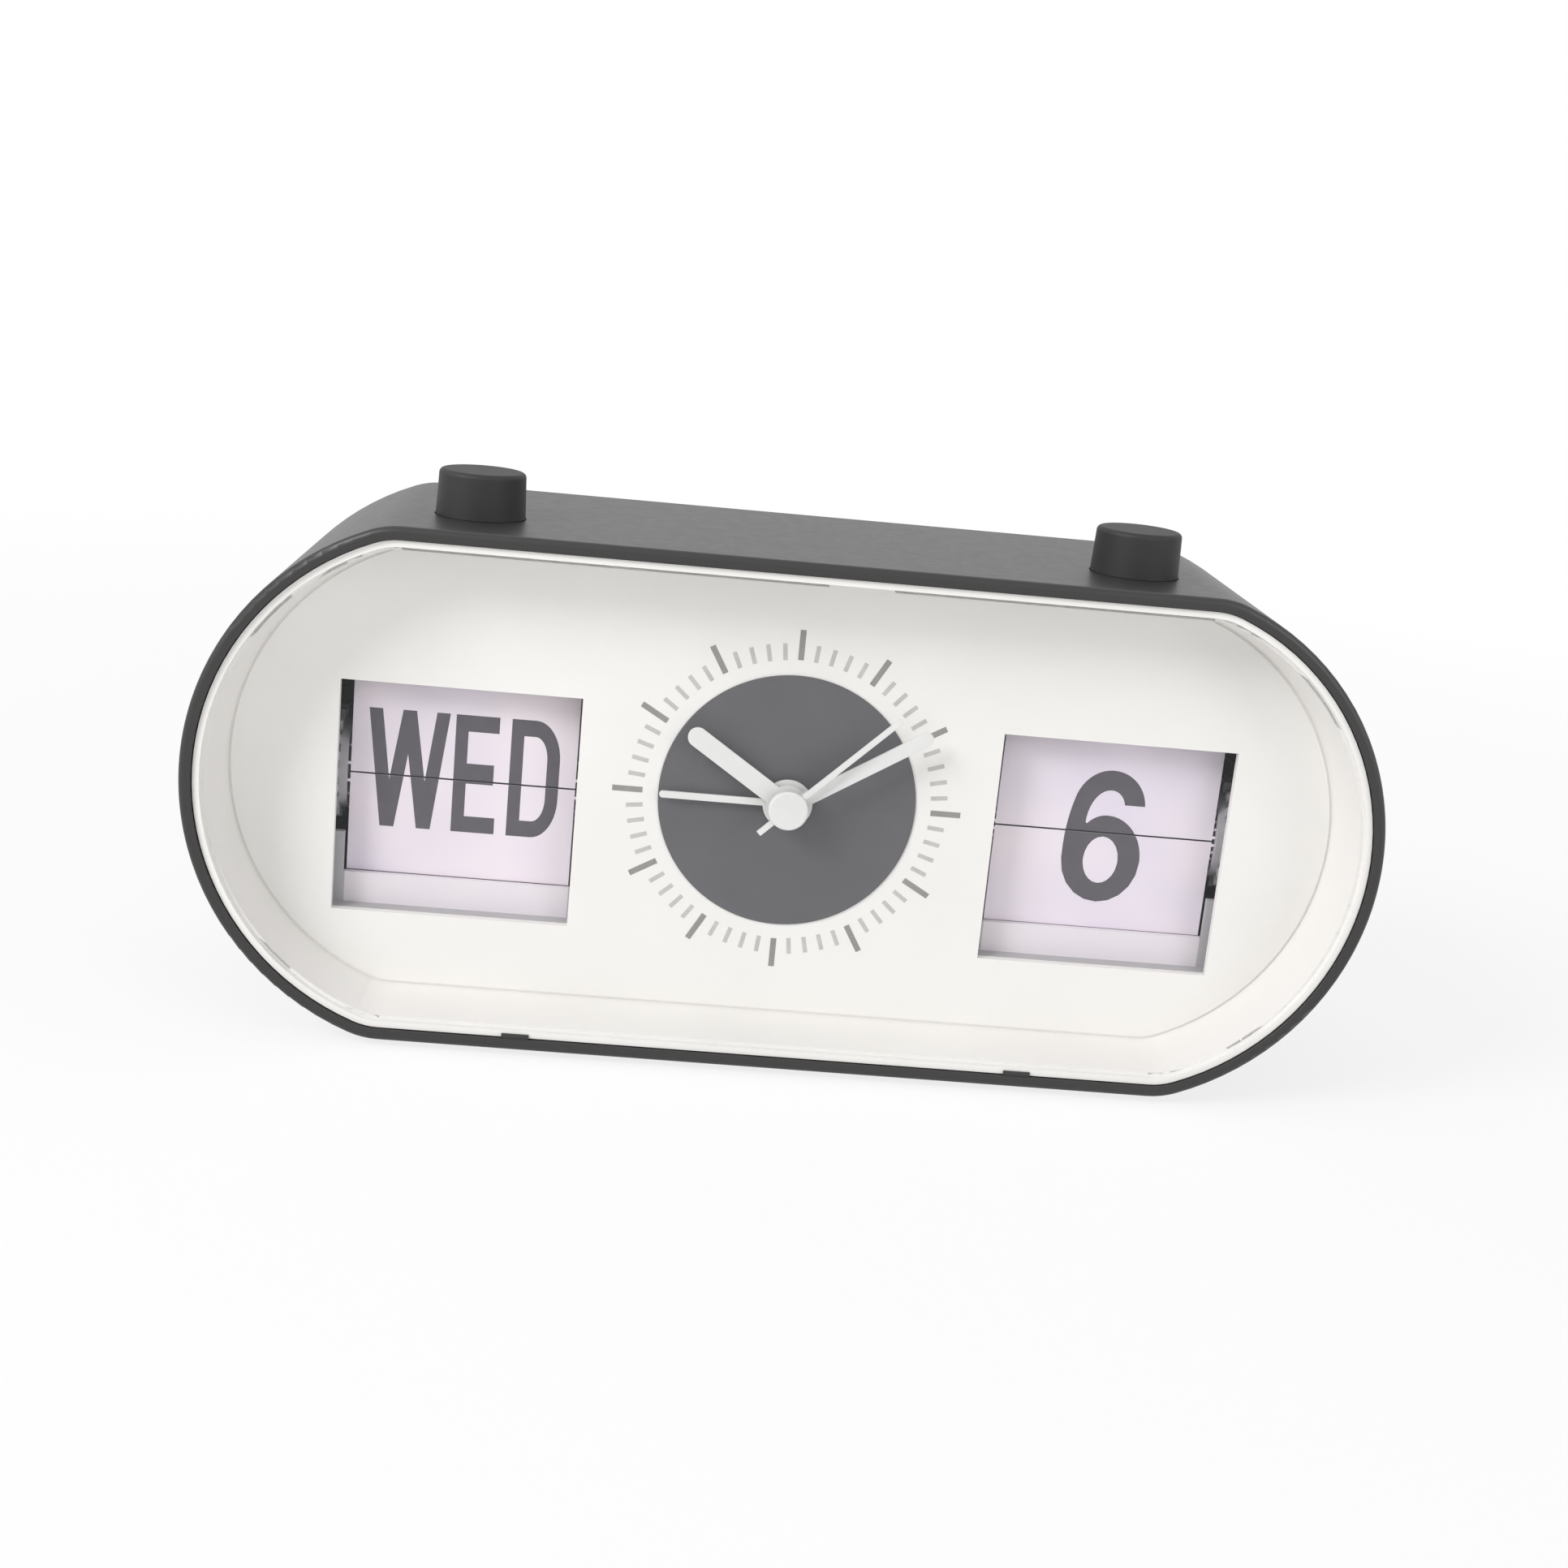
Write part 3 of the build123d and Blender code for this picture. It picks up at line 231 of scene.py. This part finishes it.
class Nodes:
    """Node tree of a material or of the world, with short calls for the nodes that they share."""

    def __init__(self, owner):
        owner.use_nodes = True
        self.tree = owner.node_tree
        self.tree.nodes.clear()

    def node(self, kind):
        return self.tree.nodes.new(kind)

    def link(self, source, target):
        self.tree.links.new(source, target)

    def feed(self, socket, value):
        """Link a socket to another node's output, or set it to a number or an opaque colour."""
        if isinstance(value, bpy.types.NodeSocket):
            self.link(value, socket)
        elif isinstance(value, tuple):
            socket.default_value = (*value, 1.0)
        else:
            socket.default_value = value

    def math(self, operation, *values):
        """Result of an operation on numbers and on other nodes' outputs."""
        node = self.node("ShaderNodeMath")
        node.operation = operation
        for socket, value in zip(node.inputs, values):
            self.feed(socket, value)
        return node.outputs[0]

    def vector_number(self, operation, *vectors):
        """Number from an operation on vectors, such as a length."""
        node = self.node("ShaderNodeVectorMath")
        node.operation = operation
        for socket, vector in zip(node.inputs, vectors):
            self.link(vector, socket)
        return node.outputs["Value"]

    def spread(self, value, start, end, low=0.0, high=1.0):
        """Value brought from one range to another, and held at the ends."""
        node = self.node("ShaderNodeMapRange")
        limits = {"From Min": start, "From Max": end, "To Min": low, "To Max": high}
        for name, limit in limits.items():
            node.inputs[name].default_value = limit
        self.link(value, node.inputs["Value"])
        return node.outputs["Result"]

    def shown_rays(self):
        """One for rays that show the background: from the camera, off gloss and through clear pieces."""
        rays = self.node("ShaderNodeLightPath")
        total = rays.outputs["Is Camera Ray"]
        for other in ("Is Glossy Ray", "Is Transmission Ray"):
            total = self.math("MAXIMUM", total, rays.outputs[other])
        return total


class Shader(Nodes):
    """Node tree of one material, with a surface to give values to."""

    def __init__(self, name):
        self.material = bpy.data.materials.new(name)
        super().__init__(self.material)
        self.output = self.node("ShaderNodeOutputMaterial")
        self.surface = self.node("ShaderNodeBsdfPrincipled")
        self.link(self.surface.outputs["BSDF"], self.output.inputs["Surface"])
        self.place = self.node("ShaderNodeTexCoord").outputs["Object"]

    def give(self, name, value):
        """Give the surface a number, a colour or another node's output."""
        self.feed(self.surface.inputs[name], value)

    def geometry(self, name, axis):
        """One axis of the surface's normal or position."""
        axes = self.node("ShaderNodeSeparateXYZ")
        self.link(self.node("ShaderNodeNewGeometry").outputs[name], axes.inputs[0])
        return axes.outputs[axis]

    def noise(self, size, detail=cloud_detail, stretch=(1.0, 1.0, 1.0)):
        """Noise with features of the given size in millimetres."""
        mapping = self.node("ShaderNodeMapping")
        mapping.inputs["Scale"].default_value = stretch
        self.link(self.place, mapping.inputs["Vector"])
        texture = self.node("ShaderNodeTexNoise")
        texture.inputs["Scale"].default_value = 1.0 / (size * mm)
        texture.inputs["Detail"].default_value = detail
        self.link(mapping.outputs["Vector"], texture.inputs["Vector"])
        return texture.outputs["Fac"]

    def remap(self, value, low=0.0, high=1.0):
        """Value from the middle of a noise, spread between two numbers."""
        return self.spread(value, noise_low, noise_high, low, high)

    def blend_colours(self, amount, first, second):
        """First colour where the amount is zero, second colour where it is one."""
        mix = self.node("ShaderNodeMix")
        mix.data_type = "RGBA"
        self.link(amount, mix.inputs[mix_amount])
        self.feed(mix.inputs[mix_first], first)
        self.feed(mix.inputs[mix_second], second)
        return mix.outputs[mix_result]

    def clouds(self, size, first, second, detail=cloud_detail):
        """Two colours that drift into each other, over a size in millimetres."""
        return self.blend_colours(self.remap(self.noise(size, detail)), first, second)

    def uneven_gloss(self, size, low, high):
        """Roughness that drifts between two values, over a size in millimetres."""
        self.give("Roughness", self.remap(self.noise(size), low, high))

    def rounded_normal(self, radius):
        """Normal that softens sharp edges by a radius in millimetres."""
        bevel = self.node("ShaderNodeBevel")
        bevel.samples = bevel_samples
        bevel.inputs["Radius"].default_value = radius * mm
        return bevel.outputs["Normal"]

    def edge_highlight_mask(self, rounded):
        """Near one on sharp edges and zero on flat faces: the mask of the painted edge highlight."""
        plain = self.node("ShaderNodeNewGeometry").outputs["Normal"]
        return self.spread(self.vector_number("DOT_PRODUCT", rounded, plain), flat_cosine, edge_cosine)

    def bump(self, height, depth, normal):
        """Relief of the given depth in millimetres over another normal."""
        node = self.node("ShaderNodeBump")
        node.inputs["Strength"].default_value = 1.0
        node.inputs["Distance"].default_value = depth * mm
        self.link(height, node.inputs["Height"])
        self.link(normal, node.inputs["Normal"])
        self.give("Normal", node.outputs["Normal"])

    def grain(self, size, depth, normal, detail=grain_detail):
        """Fine relief over another normal, with a size and a depth in millimetres."""
        self.bump(self.noise(size, detail), depth, normal)


def shade(colour, factor):
    return tuple(min(1.0, channel * factor) for channel in colour)


def moulded_plastic(
    name, colour, rough, grain=plastic_grain_size, depth=plastic_grain_depth, mottle=0.06, edge_highlight=1.15,
    round_edge=0.2
):
    """Moulded plastic: fine grain, slow colour mottling and, where the edge factor is over one, a painted
    highlight that makes sharp edges paler.
    """
    uneven = 0.02
    shader = Shader(name)
    rounded = shader.rounded_normal(round_edge)
    body = shader.clouds(plastic_cloud_size, shade(colour, 1.0 - mottle), shade(colour, 1.0 + mottle))
    # Painted highlight: sharp edges take a paler copy of the colour, by the edge factor
    shader.give("Base Color", shader.blend_colours(shader.edge_highlight_mask(rounded), body, shade(colour, edge_highlight)))
    shader.uneven_gloss(plastic_gloss_size, rough - uneven, rough + uneven)
    shader.grain(grain, depth, rounded)
    return shader.material


def calendar_frame(name, centre):
    """Frame round the leaves: lavender in front, grey painted shade on its sill and beyond the leaves'
    sides.
    """
    shader = Shader(name)
    rounded = shader.rounded_normal(radius=0.1)
    front = shader.clouds(plastic_cloud_size, frame_lavender, frame_pink)
    # Painted shade: the upward faces ahead of sill_back, that is the sill, take a shadowed grey
    upward = shader.spread(shader.geometry("Normal", "Z"), start=0.4, end=0.6)
    ahead = shader.math("LESS_THAN", shader.geometry("Position", "Y"), rim_depth + sill_back * mm)
    sill = shader.blend_colours(shader.math("MULTIPLY", upward, ahead), front, sill_shade_grey)
    # Painted shade: beyond the sides of the leaves, where the gaps beside them lie in shadow, the frame
    # takes a shadowed grey
    offset = shader.math("SUBTRACT", shader.geometry("Position", "X"), centre * mm)
    beyond = shader.spread(shader.math("ABSOLUTE", offset), leaf_half * mm, (leaf_half + side_blend) * mm)
    shader.give("Base Color", shader.blend_colours(beyond, sill, side_shade_grey))
    shader.uneven_gloss(plastic_gloss_size, low=0.48, high=0.54)
    shader.grain(plastic_grain_size, plastic_grain_depth, rounded)
    return shader.material


def painted(name, colour, rough):
    """Sprayed paint: fine orange peel and faint unevenness."""
    uneven = 0.04
    shader = Shader(name)
    rounded = shader.rounded_normal(radius=0.08)
    body = shader.clouds(size=9.0, first=shade(colour, 0.96), second=shade(colour, 1.03))
    shader.give("Base Color", body)
    shader.uneven_gloss(size=3.0, low=rough - uneven, high=rough + uneven)
    shader.grain(size=0.5, depth=0.006, normal=rounded, detail=3.0)
    return shader.material


def metal(name, colour, rough, stretch):
    """Bright metal with a fine grain, which a small number in the stretch draws out along that axis."""
    shader = Shader(name)
    rounded = shader.rounded_normal(radius=0.08)
    lines = shader.noise(size=0.6, detail=6.0, stretch=stretch)
    body = shader.blend_colours(shader.remap(lines), first=shade(colour, 0.88), second=shade(colour, 1.06))
    shader.give("Base Color", body)
    shader.give("Metallic", 1.0)
    shader.give("Roughness", shader.remap(lines, low=rough - 0.06, high=rough + 0.08))
    shader.bump(lines, depth=0.004, normal=rounded)
    return shader.material


def ink(name, colour):
    """Screen print: dense, slightly uneven ink."""
    shader = Shader(name)
    rounded = shader.rounded_normal(radius=0.02)
    body = shader.clouds(size=2.5, first=shade(colour, 0.93), second=shade(colour, 1.07))
    shader.give("Base Color", body)
    shader.uneven_gloss(size=1.0, low=0.5, high=0.62)
    shader.grain(size=0.2, depth=0.002, normal=rounded)
    return shader.material


def leaf_film(name):
    """Thin calendar leaf: lavender white film with pale pink clouds and a fine satin grain."""
    shader = Shader(name)
    rounded = shader.rounded_normal(radius=0.05)
    body = shader.clouds(size=22.0, first=leaf_lavender, second=leaf_pink, detail=1.0)
    shader.give("Base Color", body)
    shader.uneven_gloss(size=2.0, low=0.42, high=0.55)
    shader.grain(size=0.4, depth=0.003, normal=rounded)
    return shader.material


def clear_window(name):
    """Clear polished sheet, which mirrors little face on and more at a slant. Its edges stay clear."""
    mirror_face_on = 0.015
    mirror_at_slant = 0.9
    slant_power = 5.0
    shader = Shader(name)
    rounded = shader.rounded_normal(radius=0.1)
    shader.give("Base Color", shader.clouds(size=30.0, first=lens_cool, second=lens_pale))
    shader.uneven_gloss(size=12.0, low=0.02, high=0.05)
    shader.give("Metallic", 1.0)
    slant = shader.node("ShaderNodeLayerWeight").outputs["Facing"]
    rise = shader.math("POWER", slant, slant_power)
    mirror = shader.math("MULTIPLY_ADD", rise, mirror_at_slant, mirror_face_on)
    on_face = shader.spread(shader.math("ABSOLUTE", shader.geometry("Normal", "Y")), start=0.5, end=0.9)
    shader.give("Alpha", shader.math("MULTIPLY", mirror, on_face))
    shader.grain(size=40.0, depth=0.01, normal=rounded, detail=1.0)
    return shader.material


def wound_copper(name):
    """Fine varnished wire, wound round the coil's x axis."""
    wave_size = 0.6
    wave_distortion = 0.4
    shader = Shader(name)
    rounded = shader.rounded_normal(radius=0.05)
    wave = shader.node("ShaderNodeTexWave")
    wave.inputs["Scale"].default_value = 1.0 / (wave_size * mm)
    wave.inputs["Distortion"].default_value = wave_distortion
    shader.link(shader.place, wave.inputs["Vector"])
    turns = wave.outputs["Fac"]
    shader.give("Base Color", shader.blend_colours(turns, copper_dark, copper_bright))
    shader.give("Metallic", 1.0)
    shader.give("Roughness", shader.remap(turns, low=0.45, high=0.28))
    shader.bump(turns, depth=0.05, normal=rounded)
    return shader.material


def set_materials():
    """A procedural material on every CAD node: the node's own, or else that of its slot in the record."""
    along_x = (0.05, 1.0, 1.0)
    even = (1.0, 1.0, 1.0)
    slot_finishes = {
        "black_plastic": moulded_plastic("case_plastic", case_black, rough=0.4, grain=0.4, mottle=0.02),
        "button_plastic": moulded_plastic("button_plastic", button_black, rough=0.6, mottle=0.03, edge_highlight=1.05),
        "clear_plastic": clear_window("lens_plastic"),
        "white_plastic": moulded_plastic(
            "dial_plastic", dial_white, rough=0.5, mottle=0.02, edge_highlight=1.0, round_edge=0.05
        ),
        "grey_paint": painted("disc_paint", disc_grey, rough=0.65),
        "white_paint": painted("hand_paint", hand_white, rough=0.45),
        "leaf_plastic": leaf_film("leaf_film"),
        "grey_plastic": moulded_plastic("movement_plastic", movement_grey, rough=0.5, depth=0.006),
        "gear_plastic": moulded_plastic(
            "gear_plastic", gear_cream, rough=0.4, mottle=0.04, edge_highlight=1.05, round_edge=0.05
        ),
        "steel": metal("steel", steel_grey, rough=0.3, stretch=along_x),
        "copper_wire": wound_copper("copper_wire"),
        "board": moulded_plastic(
            "board_lacquer", board_green, rough=0.35, grain=0.2, depth=0.006, mottle=0.1
        ),
        "cell_jacket": painted("cell_jacket", cell_grey, rough=0.3),
        "sounder_metal": metal("sounder_metal", brass_yellow, rough=0.32, stretch=even),
        "rubber": moulded_plastic("rubber", rubber_black, rough=0.75, grain=0.6, depth=0.02, mottle=0.15),
    }
    drum = moulded_plastic(
        "drum_plastic", drum_grey, rough=0.55, depth=0.003, mottle=0.03, edge_highlight=1.0, round_edge=0.1
    )
    own_finishes = {
        "day_frame": calendar_frame("day_frame_plastic", day_x),
        "date_frame": calendar_frame("date_frame_plastic", date_x),
        "day_drum": drum,
        "day_drum_end": drum,
        "date_drum": drum,
        "date_drum_end": drum,
    }
    for entry in frame["record"]["subparts"]:
        node = entry["node"]
        if node in own_finishes:
            finish = own_finishes[node]
        else:
            finish = slot_finishes[entry["material_slot"]]
        data = frame["nodes"][node].data
        data.materials.clear()
        data.materials.append(finish)


def make_piece(name, mesh, material, body):
    """Piece of the scene that rides on a body."""
    piece = add_object(name, mesh)
    mesh.materials.append(material)
    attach(piece, body)
    return piece


def make_springs():
    """Button springs as pieces of the scene on the case, in place of the CAD springs, each with its own
    mesh.
    """
    for name in ("alarm", "snooze"):
        node = name + "_button_spring"
        data = frame["nodes"][node].data.copy()
        steel = data.materials[0]
        data.materials.clear()
        spring = make_piece(name + "_coil_spring", data, steel, "case")
        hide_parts(node)
        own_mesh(spring)


def bar_faces(mesh, corners):
    """Printed bar standing proud of a front face, from its four corners on that face."""
    back = [mesh.verts.new(corner) for corner in corners]
    lift = Vector((0.0, -print_thickness * mm, 0.0))
    front = [mesh.verts.new(corner + lift) for corner in corners]
    mesh.faces.new(front)
    for index in range(len(corners)):
        following = (index + 1) % len(corners)
        mesh.faces.new((back[index], back[following], front[following], front[index]))


def make_ticks(name, chosen, material, inner, outer, width):
    """Printed minute marks round the dial."""
    mesh = bmesh.new()
    for tick in chosen:
        angle = 2.0 * math.pi * tick / tick_count
        out = Vector((math.sin(angle), math.cos(angle)))
        side = Vector((out.y, -out.x)) * width / 2
        corners = [out * inner - side, out * inner + side, out * outer + side, out * outer - side]
        bar_faces(mesh, [row_point(corner.x, dial_front, corner.y) for corner in corners])
    bmesh.ops.recalc_face_normals(mesh, faces=mesh.faces)
    make_piece(name, mesh_data(name, mesh), material, "case")


def arc(centre, radii, start, end):
    """Points of an ellipse arc between two angles in degrees."""
    points = []
    for step in range(arc_steps + 1):
        angle = math.radians(start + (end - start) * step / arc_steps)
        points.append((centre[0] + radii[0] * math.cos(angle), centre[1] + radii[1] * math.sin(angle)))
    return points


def mirrored(points, width):
    """Points on the other side of a letter, in reverse order."""
    return [(width - x, y) for x, y in reversed(points)]


def letter_w():
    width = 13.9
    height = letter_height
    notch = 8.5
    peak = 13.2
    top = [(0, height), (2.3, height), (3.9, notch), (5.8, height)]
    foot = [(5.0, 0), (2.6, 0)]
    outline = top + mirrored(top, width) + mirrored(foot, width) + [(width / 2, peak)] + foot
    return width, [outline]


def letter_e():
    width = 7.5
    height = letter_height
    middle = 6.9
    middle_low = 8.8
    middle_high = 12.4
    outline = [
        (0, 0), (width, 0), (width, bar), (stem, bar), (stem, middle_low), (middle, middle_low),
        (middle, middle_high), (stem, middle_high), (stem, height - bar), (width, height - bar),
        (width, height), (0, height),
    ]
    return width, [outline]


def letter_d():
    width = 8.6
    height = letter_height
    start = 4.2
    corner = 7.0
    outer_radii = (width - start, corner)
    outer = [(0, 0)] + arc((start, corner), outer_radii, -90, 0)
    outer += arc((start, height - corner), outer_radii, 0, 90) + [(0, height)]
    inner_radii = (width - stem - start, corner - bar)
    inner = [(stem, bar)] + arc((start, corner), inner_radii, -90, 0)
    inner += arc((start, height - corner), inner_radii, 0, 90) + [(stem, height - bar)]
    return width, [outer, inner]


def letter_t():
    width = 8.6
    height = letter_height
    left = (width - stem) / 2
    right = (width + stem) / 2
    outline = [
        (left, 0), (right, 0), (right, height - bar), (width, height - bar), (width, height),
        (0, height), (0, height - bar), (left, height - bar),
    ]
    return width, [outline]


def letter_h():
    width = 9.0
    height = letter_height
    low = (height - bar) / 2
    outline = [
        (0, 0), (stem, 0), (stem, low), (width - stem, low), (width - stem, 0), (width, 0),
        (width, height), (width - stem, height), (width - stem, low + bar), (stem, low + bar),
        (stem, height), (0, height),
    ]
    return width, [outline]


def letter_u():
    width = 9.0
    height = letter_height
    rise = 6.5
    middle = (width / 2, rise)
    outer = arc(middle, (width / 2, rise), 180, 360)
    inner = arc(middle, (width / 2 - stem, rise - bar), 360, 180)
    outline = [(0, height)] + outer + [(width, height), (width - stem, height)] + inner + [(stem, height)]
    return width, [outline]


def figure_six():
    """Six with its middle at the origin, drawn from the end of its hook round to the same end."""
    hook = arc((0.4, 5.4), (6.3, 6.7), 5, 90)
    shoulder = arc((0.3, 4.6), (6.4, 7.5), 92, 165)
    left_side = arc((0.0, -2.5), (7.0, 16.6), 146, 180)
    bottom = arc((0.0, -4.2), (7.0, 7.9), 182, 360)
    right_side = arc((0.3, -4.2), (6.7, 8.1), 2, 90)
    bowl_top = arc((0.3, -2.0), (5.0, 5.9), 92, 135)
    stem_inside = arc((0.4, 2.2), (3.9, 6.3), 178, 90)
    hook_inside = arc((0.4, 5.4), (2.7, 3.1), 88, 11)
    outer = hook + shoulder + left_side + bottom + right_side + bowl_top + stem_inside + hook_inside
    hole_centre = (0.0, -4.3)
    hole_radii = (3.1, 4.3)
    hole = arc(hole_centre, hole_radii, 0, 180) + arc(hole_centre, hole_radii, 189, 351)
    return [outer, hole]


def figure_seven():
    """Seven with its middle at the origin."""
    side = 7.0
    top = 12.1
    bar_low = 8.6
    outline = [
        (-side, top), (side, top), (side, 9.0), (-0.2, -top), (-4.0, -top), (2.9, bar_low), (-side, bar_low),
    ]
    return [outline]


def word(letters, gaps):
    """Contours of a word, with its middle at the origin. A gap follows each letter but the last."""
    contours = []
    x = 0.0
    for (width, outlines), gap in zip(letters, (*gaps, 0.0)):
        for outline in outlines:
            contours.append([(point[0] + x, point[1] - letter_height / 2) for point in outline])
        x += width + gap
    return [[(point[0] - x / 2, point[1]) for point in contour] for contour in contours]


def filled_mesh(name, contours, middle):
    """Flat filled mesh of printed contours on a front face, with their middle at an x, a depth and a z."""
    middle_x, depth, middle_z = middle
    curve = bpy.data.curves.new(name, "CURVE")
    curve.dimensions = "2D"
    curve.fill_mode = "FRONT"
    for contour in contours:
        spline = curve.splines.new("POLY")
        spline.points.add(len(contour) - 1)
        for point, place in zip(spline.points, contour):
            point.co = (place[0], place[1], 0.0, 1.0)
        spline.use_cyclic_u = True
    holder = bpy.data.objects.new(name, curve)
    data = bpy.data.meshes.new_from_object(holder)
    bpy.data.objects.remove(holder)
    bpy.data.curves.remove(curve)
    mesh = bmesh.new()
    mesh.from_mesh(data)
    bpy.data.meshes.remove(data)
    for vertex in mesh.verts:
        vertex.co = row_point(vertex.co.x + middle_x, depth, vertex.co.y + middle_z)
    return mesh


def half_print(name, contours, middle, upper, move, body, material):
    """One half of a printed word or figure, cut at the split and moved to its leaf's place at rest."""
    mesh = filled_mesh(name, contours, middle)
    sign = 1.0 if upper else -1.0
    cut = row_point(0.0, middle[1], split_z + sign * split_gap / 2)
    whole = mesh.verts[:] + mesh.edges[:] + mesh.faces[:]
    bmesh.ops.bisect_plane(mesh, geom=whole, plane_co=cut, plane_no=(0, 0, -sign), clear_outer=True)
    front = bmesh.ops.extrude_face_region(mesh, geom=mesh.faces[:])
    raised = [item for item in front["geom"] if isinstance(item, bmesh.types.BMVert)]
    bmesh.ops.translate(mesh, verts=raised, vec=(0.0, -ink_thickness * mm, 0.0))
    bmesh.ops.recalc_face_normals(mesh, faces=mesh.faces)
    mesh.transform(move)
    make_piece(name, mesh_data(name, mesh), material, body)


def print_leaves(name, now, following, leaf_count, text_x, text_rise, material):
    """Both halves of what shows now, and of what shows after one step."""
    half_step = math.pi / leaf_count
    axis = row_point(0.0, drum_depth, split_z)
    hinge_depth = drum_depth - hinge_radius * math.cos(half_step)
    lift = hinge_radius * math.sin(half_step)
    hinge_now = row_point(0.0, hinge_depth, split_z + lift)
    hinge_after = row_point(0.0, hinge_depth, split_z - lift)
    stay = Matrix.Identity(4)
    fallen = Matrix.Translation(hinge_now) @ turn_about_x(math.pi) @ Matrix.Translation(-hinge_after)
    waiting = Matrix.Translation(axis) @ turn_about_x(-2.0 * half_step) @ Matrix.Translation(-axis)
    middle = (text_x, hinge_depth - leaf_thickness / 2, split_z + text_rise)
    half_print(name + "_print_upper", now, middle, True, stay, name + "_flap", material)
    half_print(name + "_print_lower", now, middle, False, stay, name + "_wheel", material)
    half_print(name + "_print_next_upper", following, middle, True, waiting, name + "_wheel", material)
    half_print(name + "_print_next_lower", following, middle, False, fallen, name + "_flap", material)


def make_printing():
    """Marks on the dial, and words and figures on the leaves."""
    hours = range(0, tick_count, hour_every)
    minutes = [tick for tick in range(tick_count) if tick % hour_every]
    make_ticks("dial_hour_ticks", hours, ink("hour_tick_ink", hour_ink_grey), **hour_tick)
    make_ticks("dial_minute_ticks", minutes, ink("minute_tick_ink", minute_ink_grey), **minute_tick)
    leaf_ink = ink("leaf_ink", leaf_ink_grey)
    today = word([letter_w(), letter_e(), letter_d()], today_gaps)
    tomorrow = word([letter_t(), letter_h(), letter_u()], tomorrow_gaps)
    day_text_x = day_x + day_text_shift
    print_leaves("day", today, tomorrow, day_leaf_count, day_text_x, day_text_rise, leaf_ink)
    print_leaves("date", figure_six(), figure_seven(), date_leaf_count, date_x, date_text_rise, leaf_ink)


def make_floor():
    """Pale floor that keeps the shadow and fades into a white background."""
    mesh = bmesh.new()
    bmesh.ops.create_grid(mesh, x_segments=1, y_segments=1, size=floor_half)
    floor = add_object("floor", mesh_data("floor", mesh))
    shader = Shader("floor_paper")
    shader.give("Base Color", floor_white)
    shader.give("Roughness", 0.9)
    shader.give("Specular IOR Level", 0.0)
    glow = shader.node("ShaderNodeEmission")
    shader.feed(glow.inputs["Color"], white)
    distance = shader.vector_number("LENGTH", shader.place)
    fade = shader.spread(distance, fade_start, fade_end, white_in_middle, 1.0)
    mix = shader.node("ShaderNodeMixShader")
    shader.link(shader.math("MULTIPLY", fade, shader.shown_rays()), mix.inputs["Fac"])
    shader.link(shader.surface.outputs["BSDF"], mix.inputs[1])
    shader.link(glow.outputs["Emission"], mix.inputs[2])
    shader.link(mix.outputs["Shader"], shader.output.inputs["Surface"])
    floor.data.materials.append(shader.material)


def set_world():
    """White where it is seen, softer as a light."""
    world = bpy.data.worlds.new("studio")
    bpy.context.scene.world = world
    nodes = Nodes(world)
    background = nodes.node("ShaderNodeBackground")
    nodes.feed(background.inputs["Color"], white)
    strength = nodes.spread(nodes.shown_rays(), start=0.0, end=1.0, low=room_light, high=1.0)
    nodes.link(strength, background.inputs["Strength"])
    output = nodes.node("ShaderNodeOutputWorld")
    nodes.link(background.outputs["Background"], output.inputs["Surface"])


bpy.context.scene.view_settings.view_transform = "Standard"
set_materials()
make_springs()
make_printing()
make_floor()
set_world()
set_lamps()
set_camera()
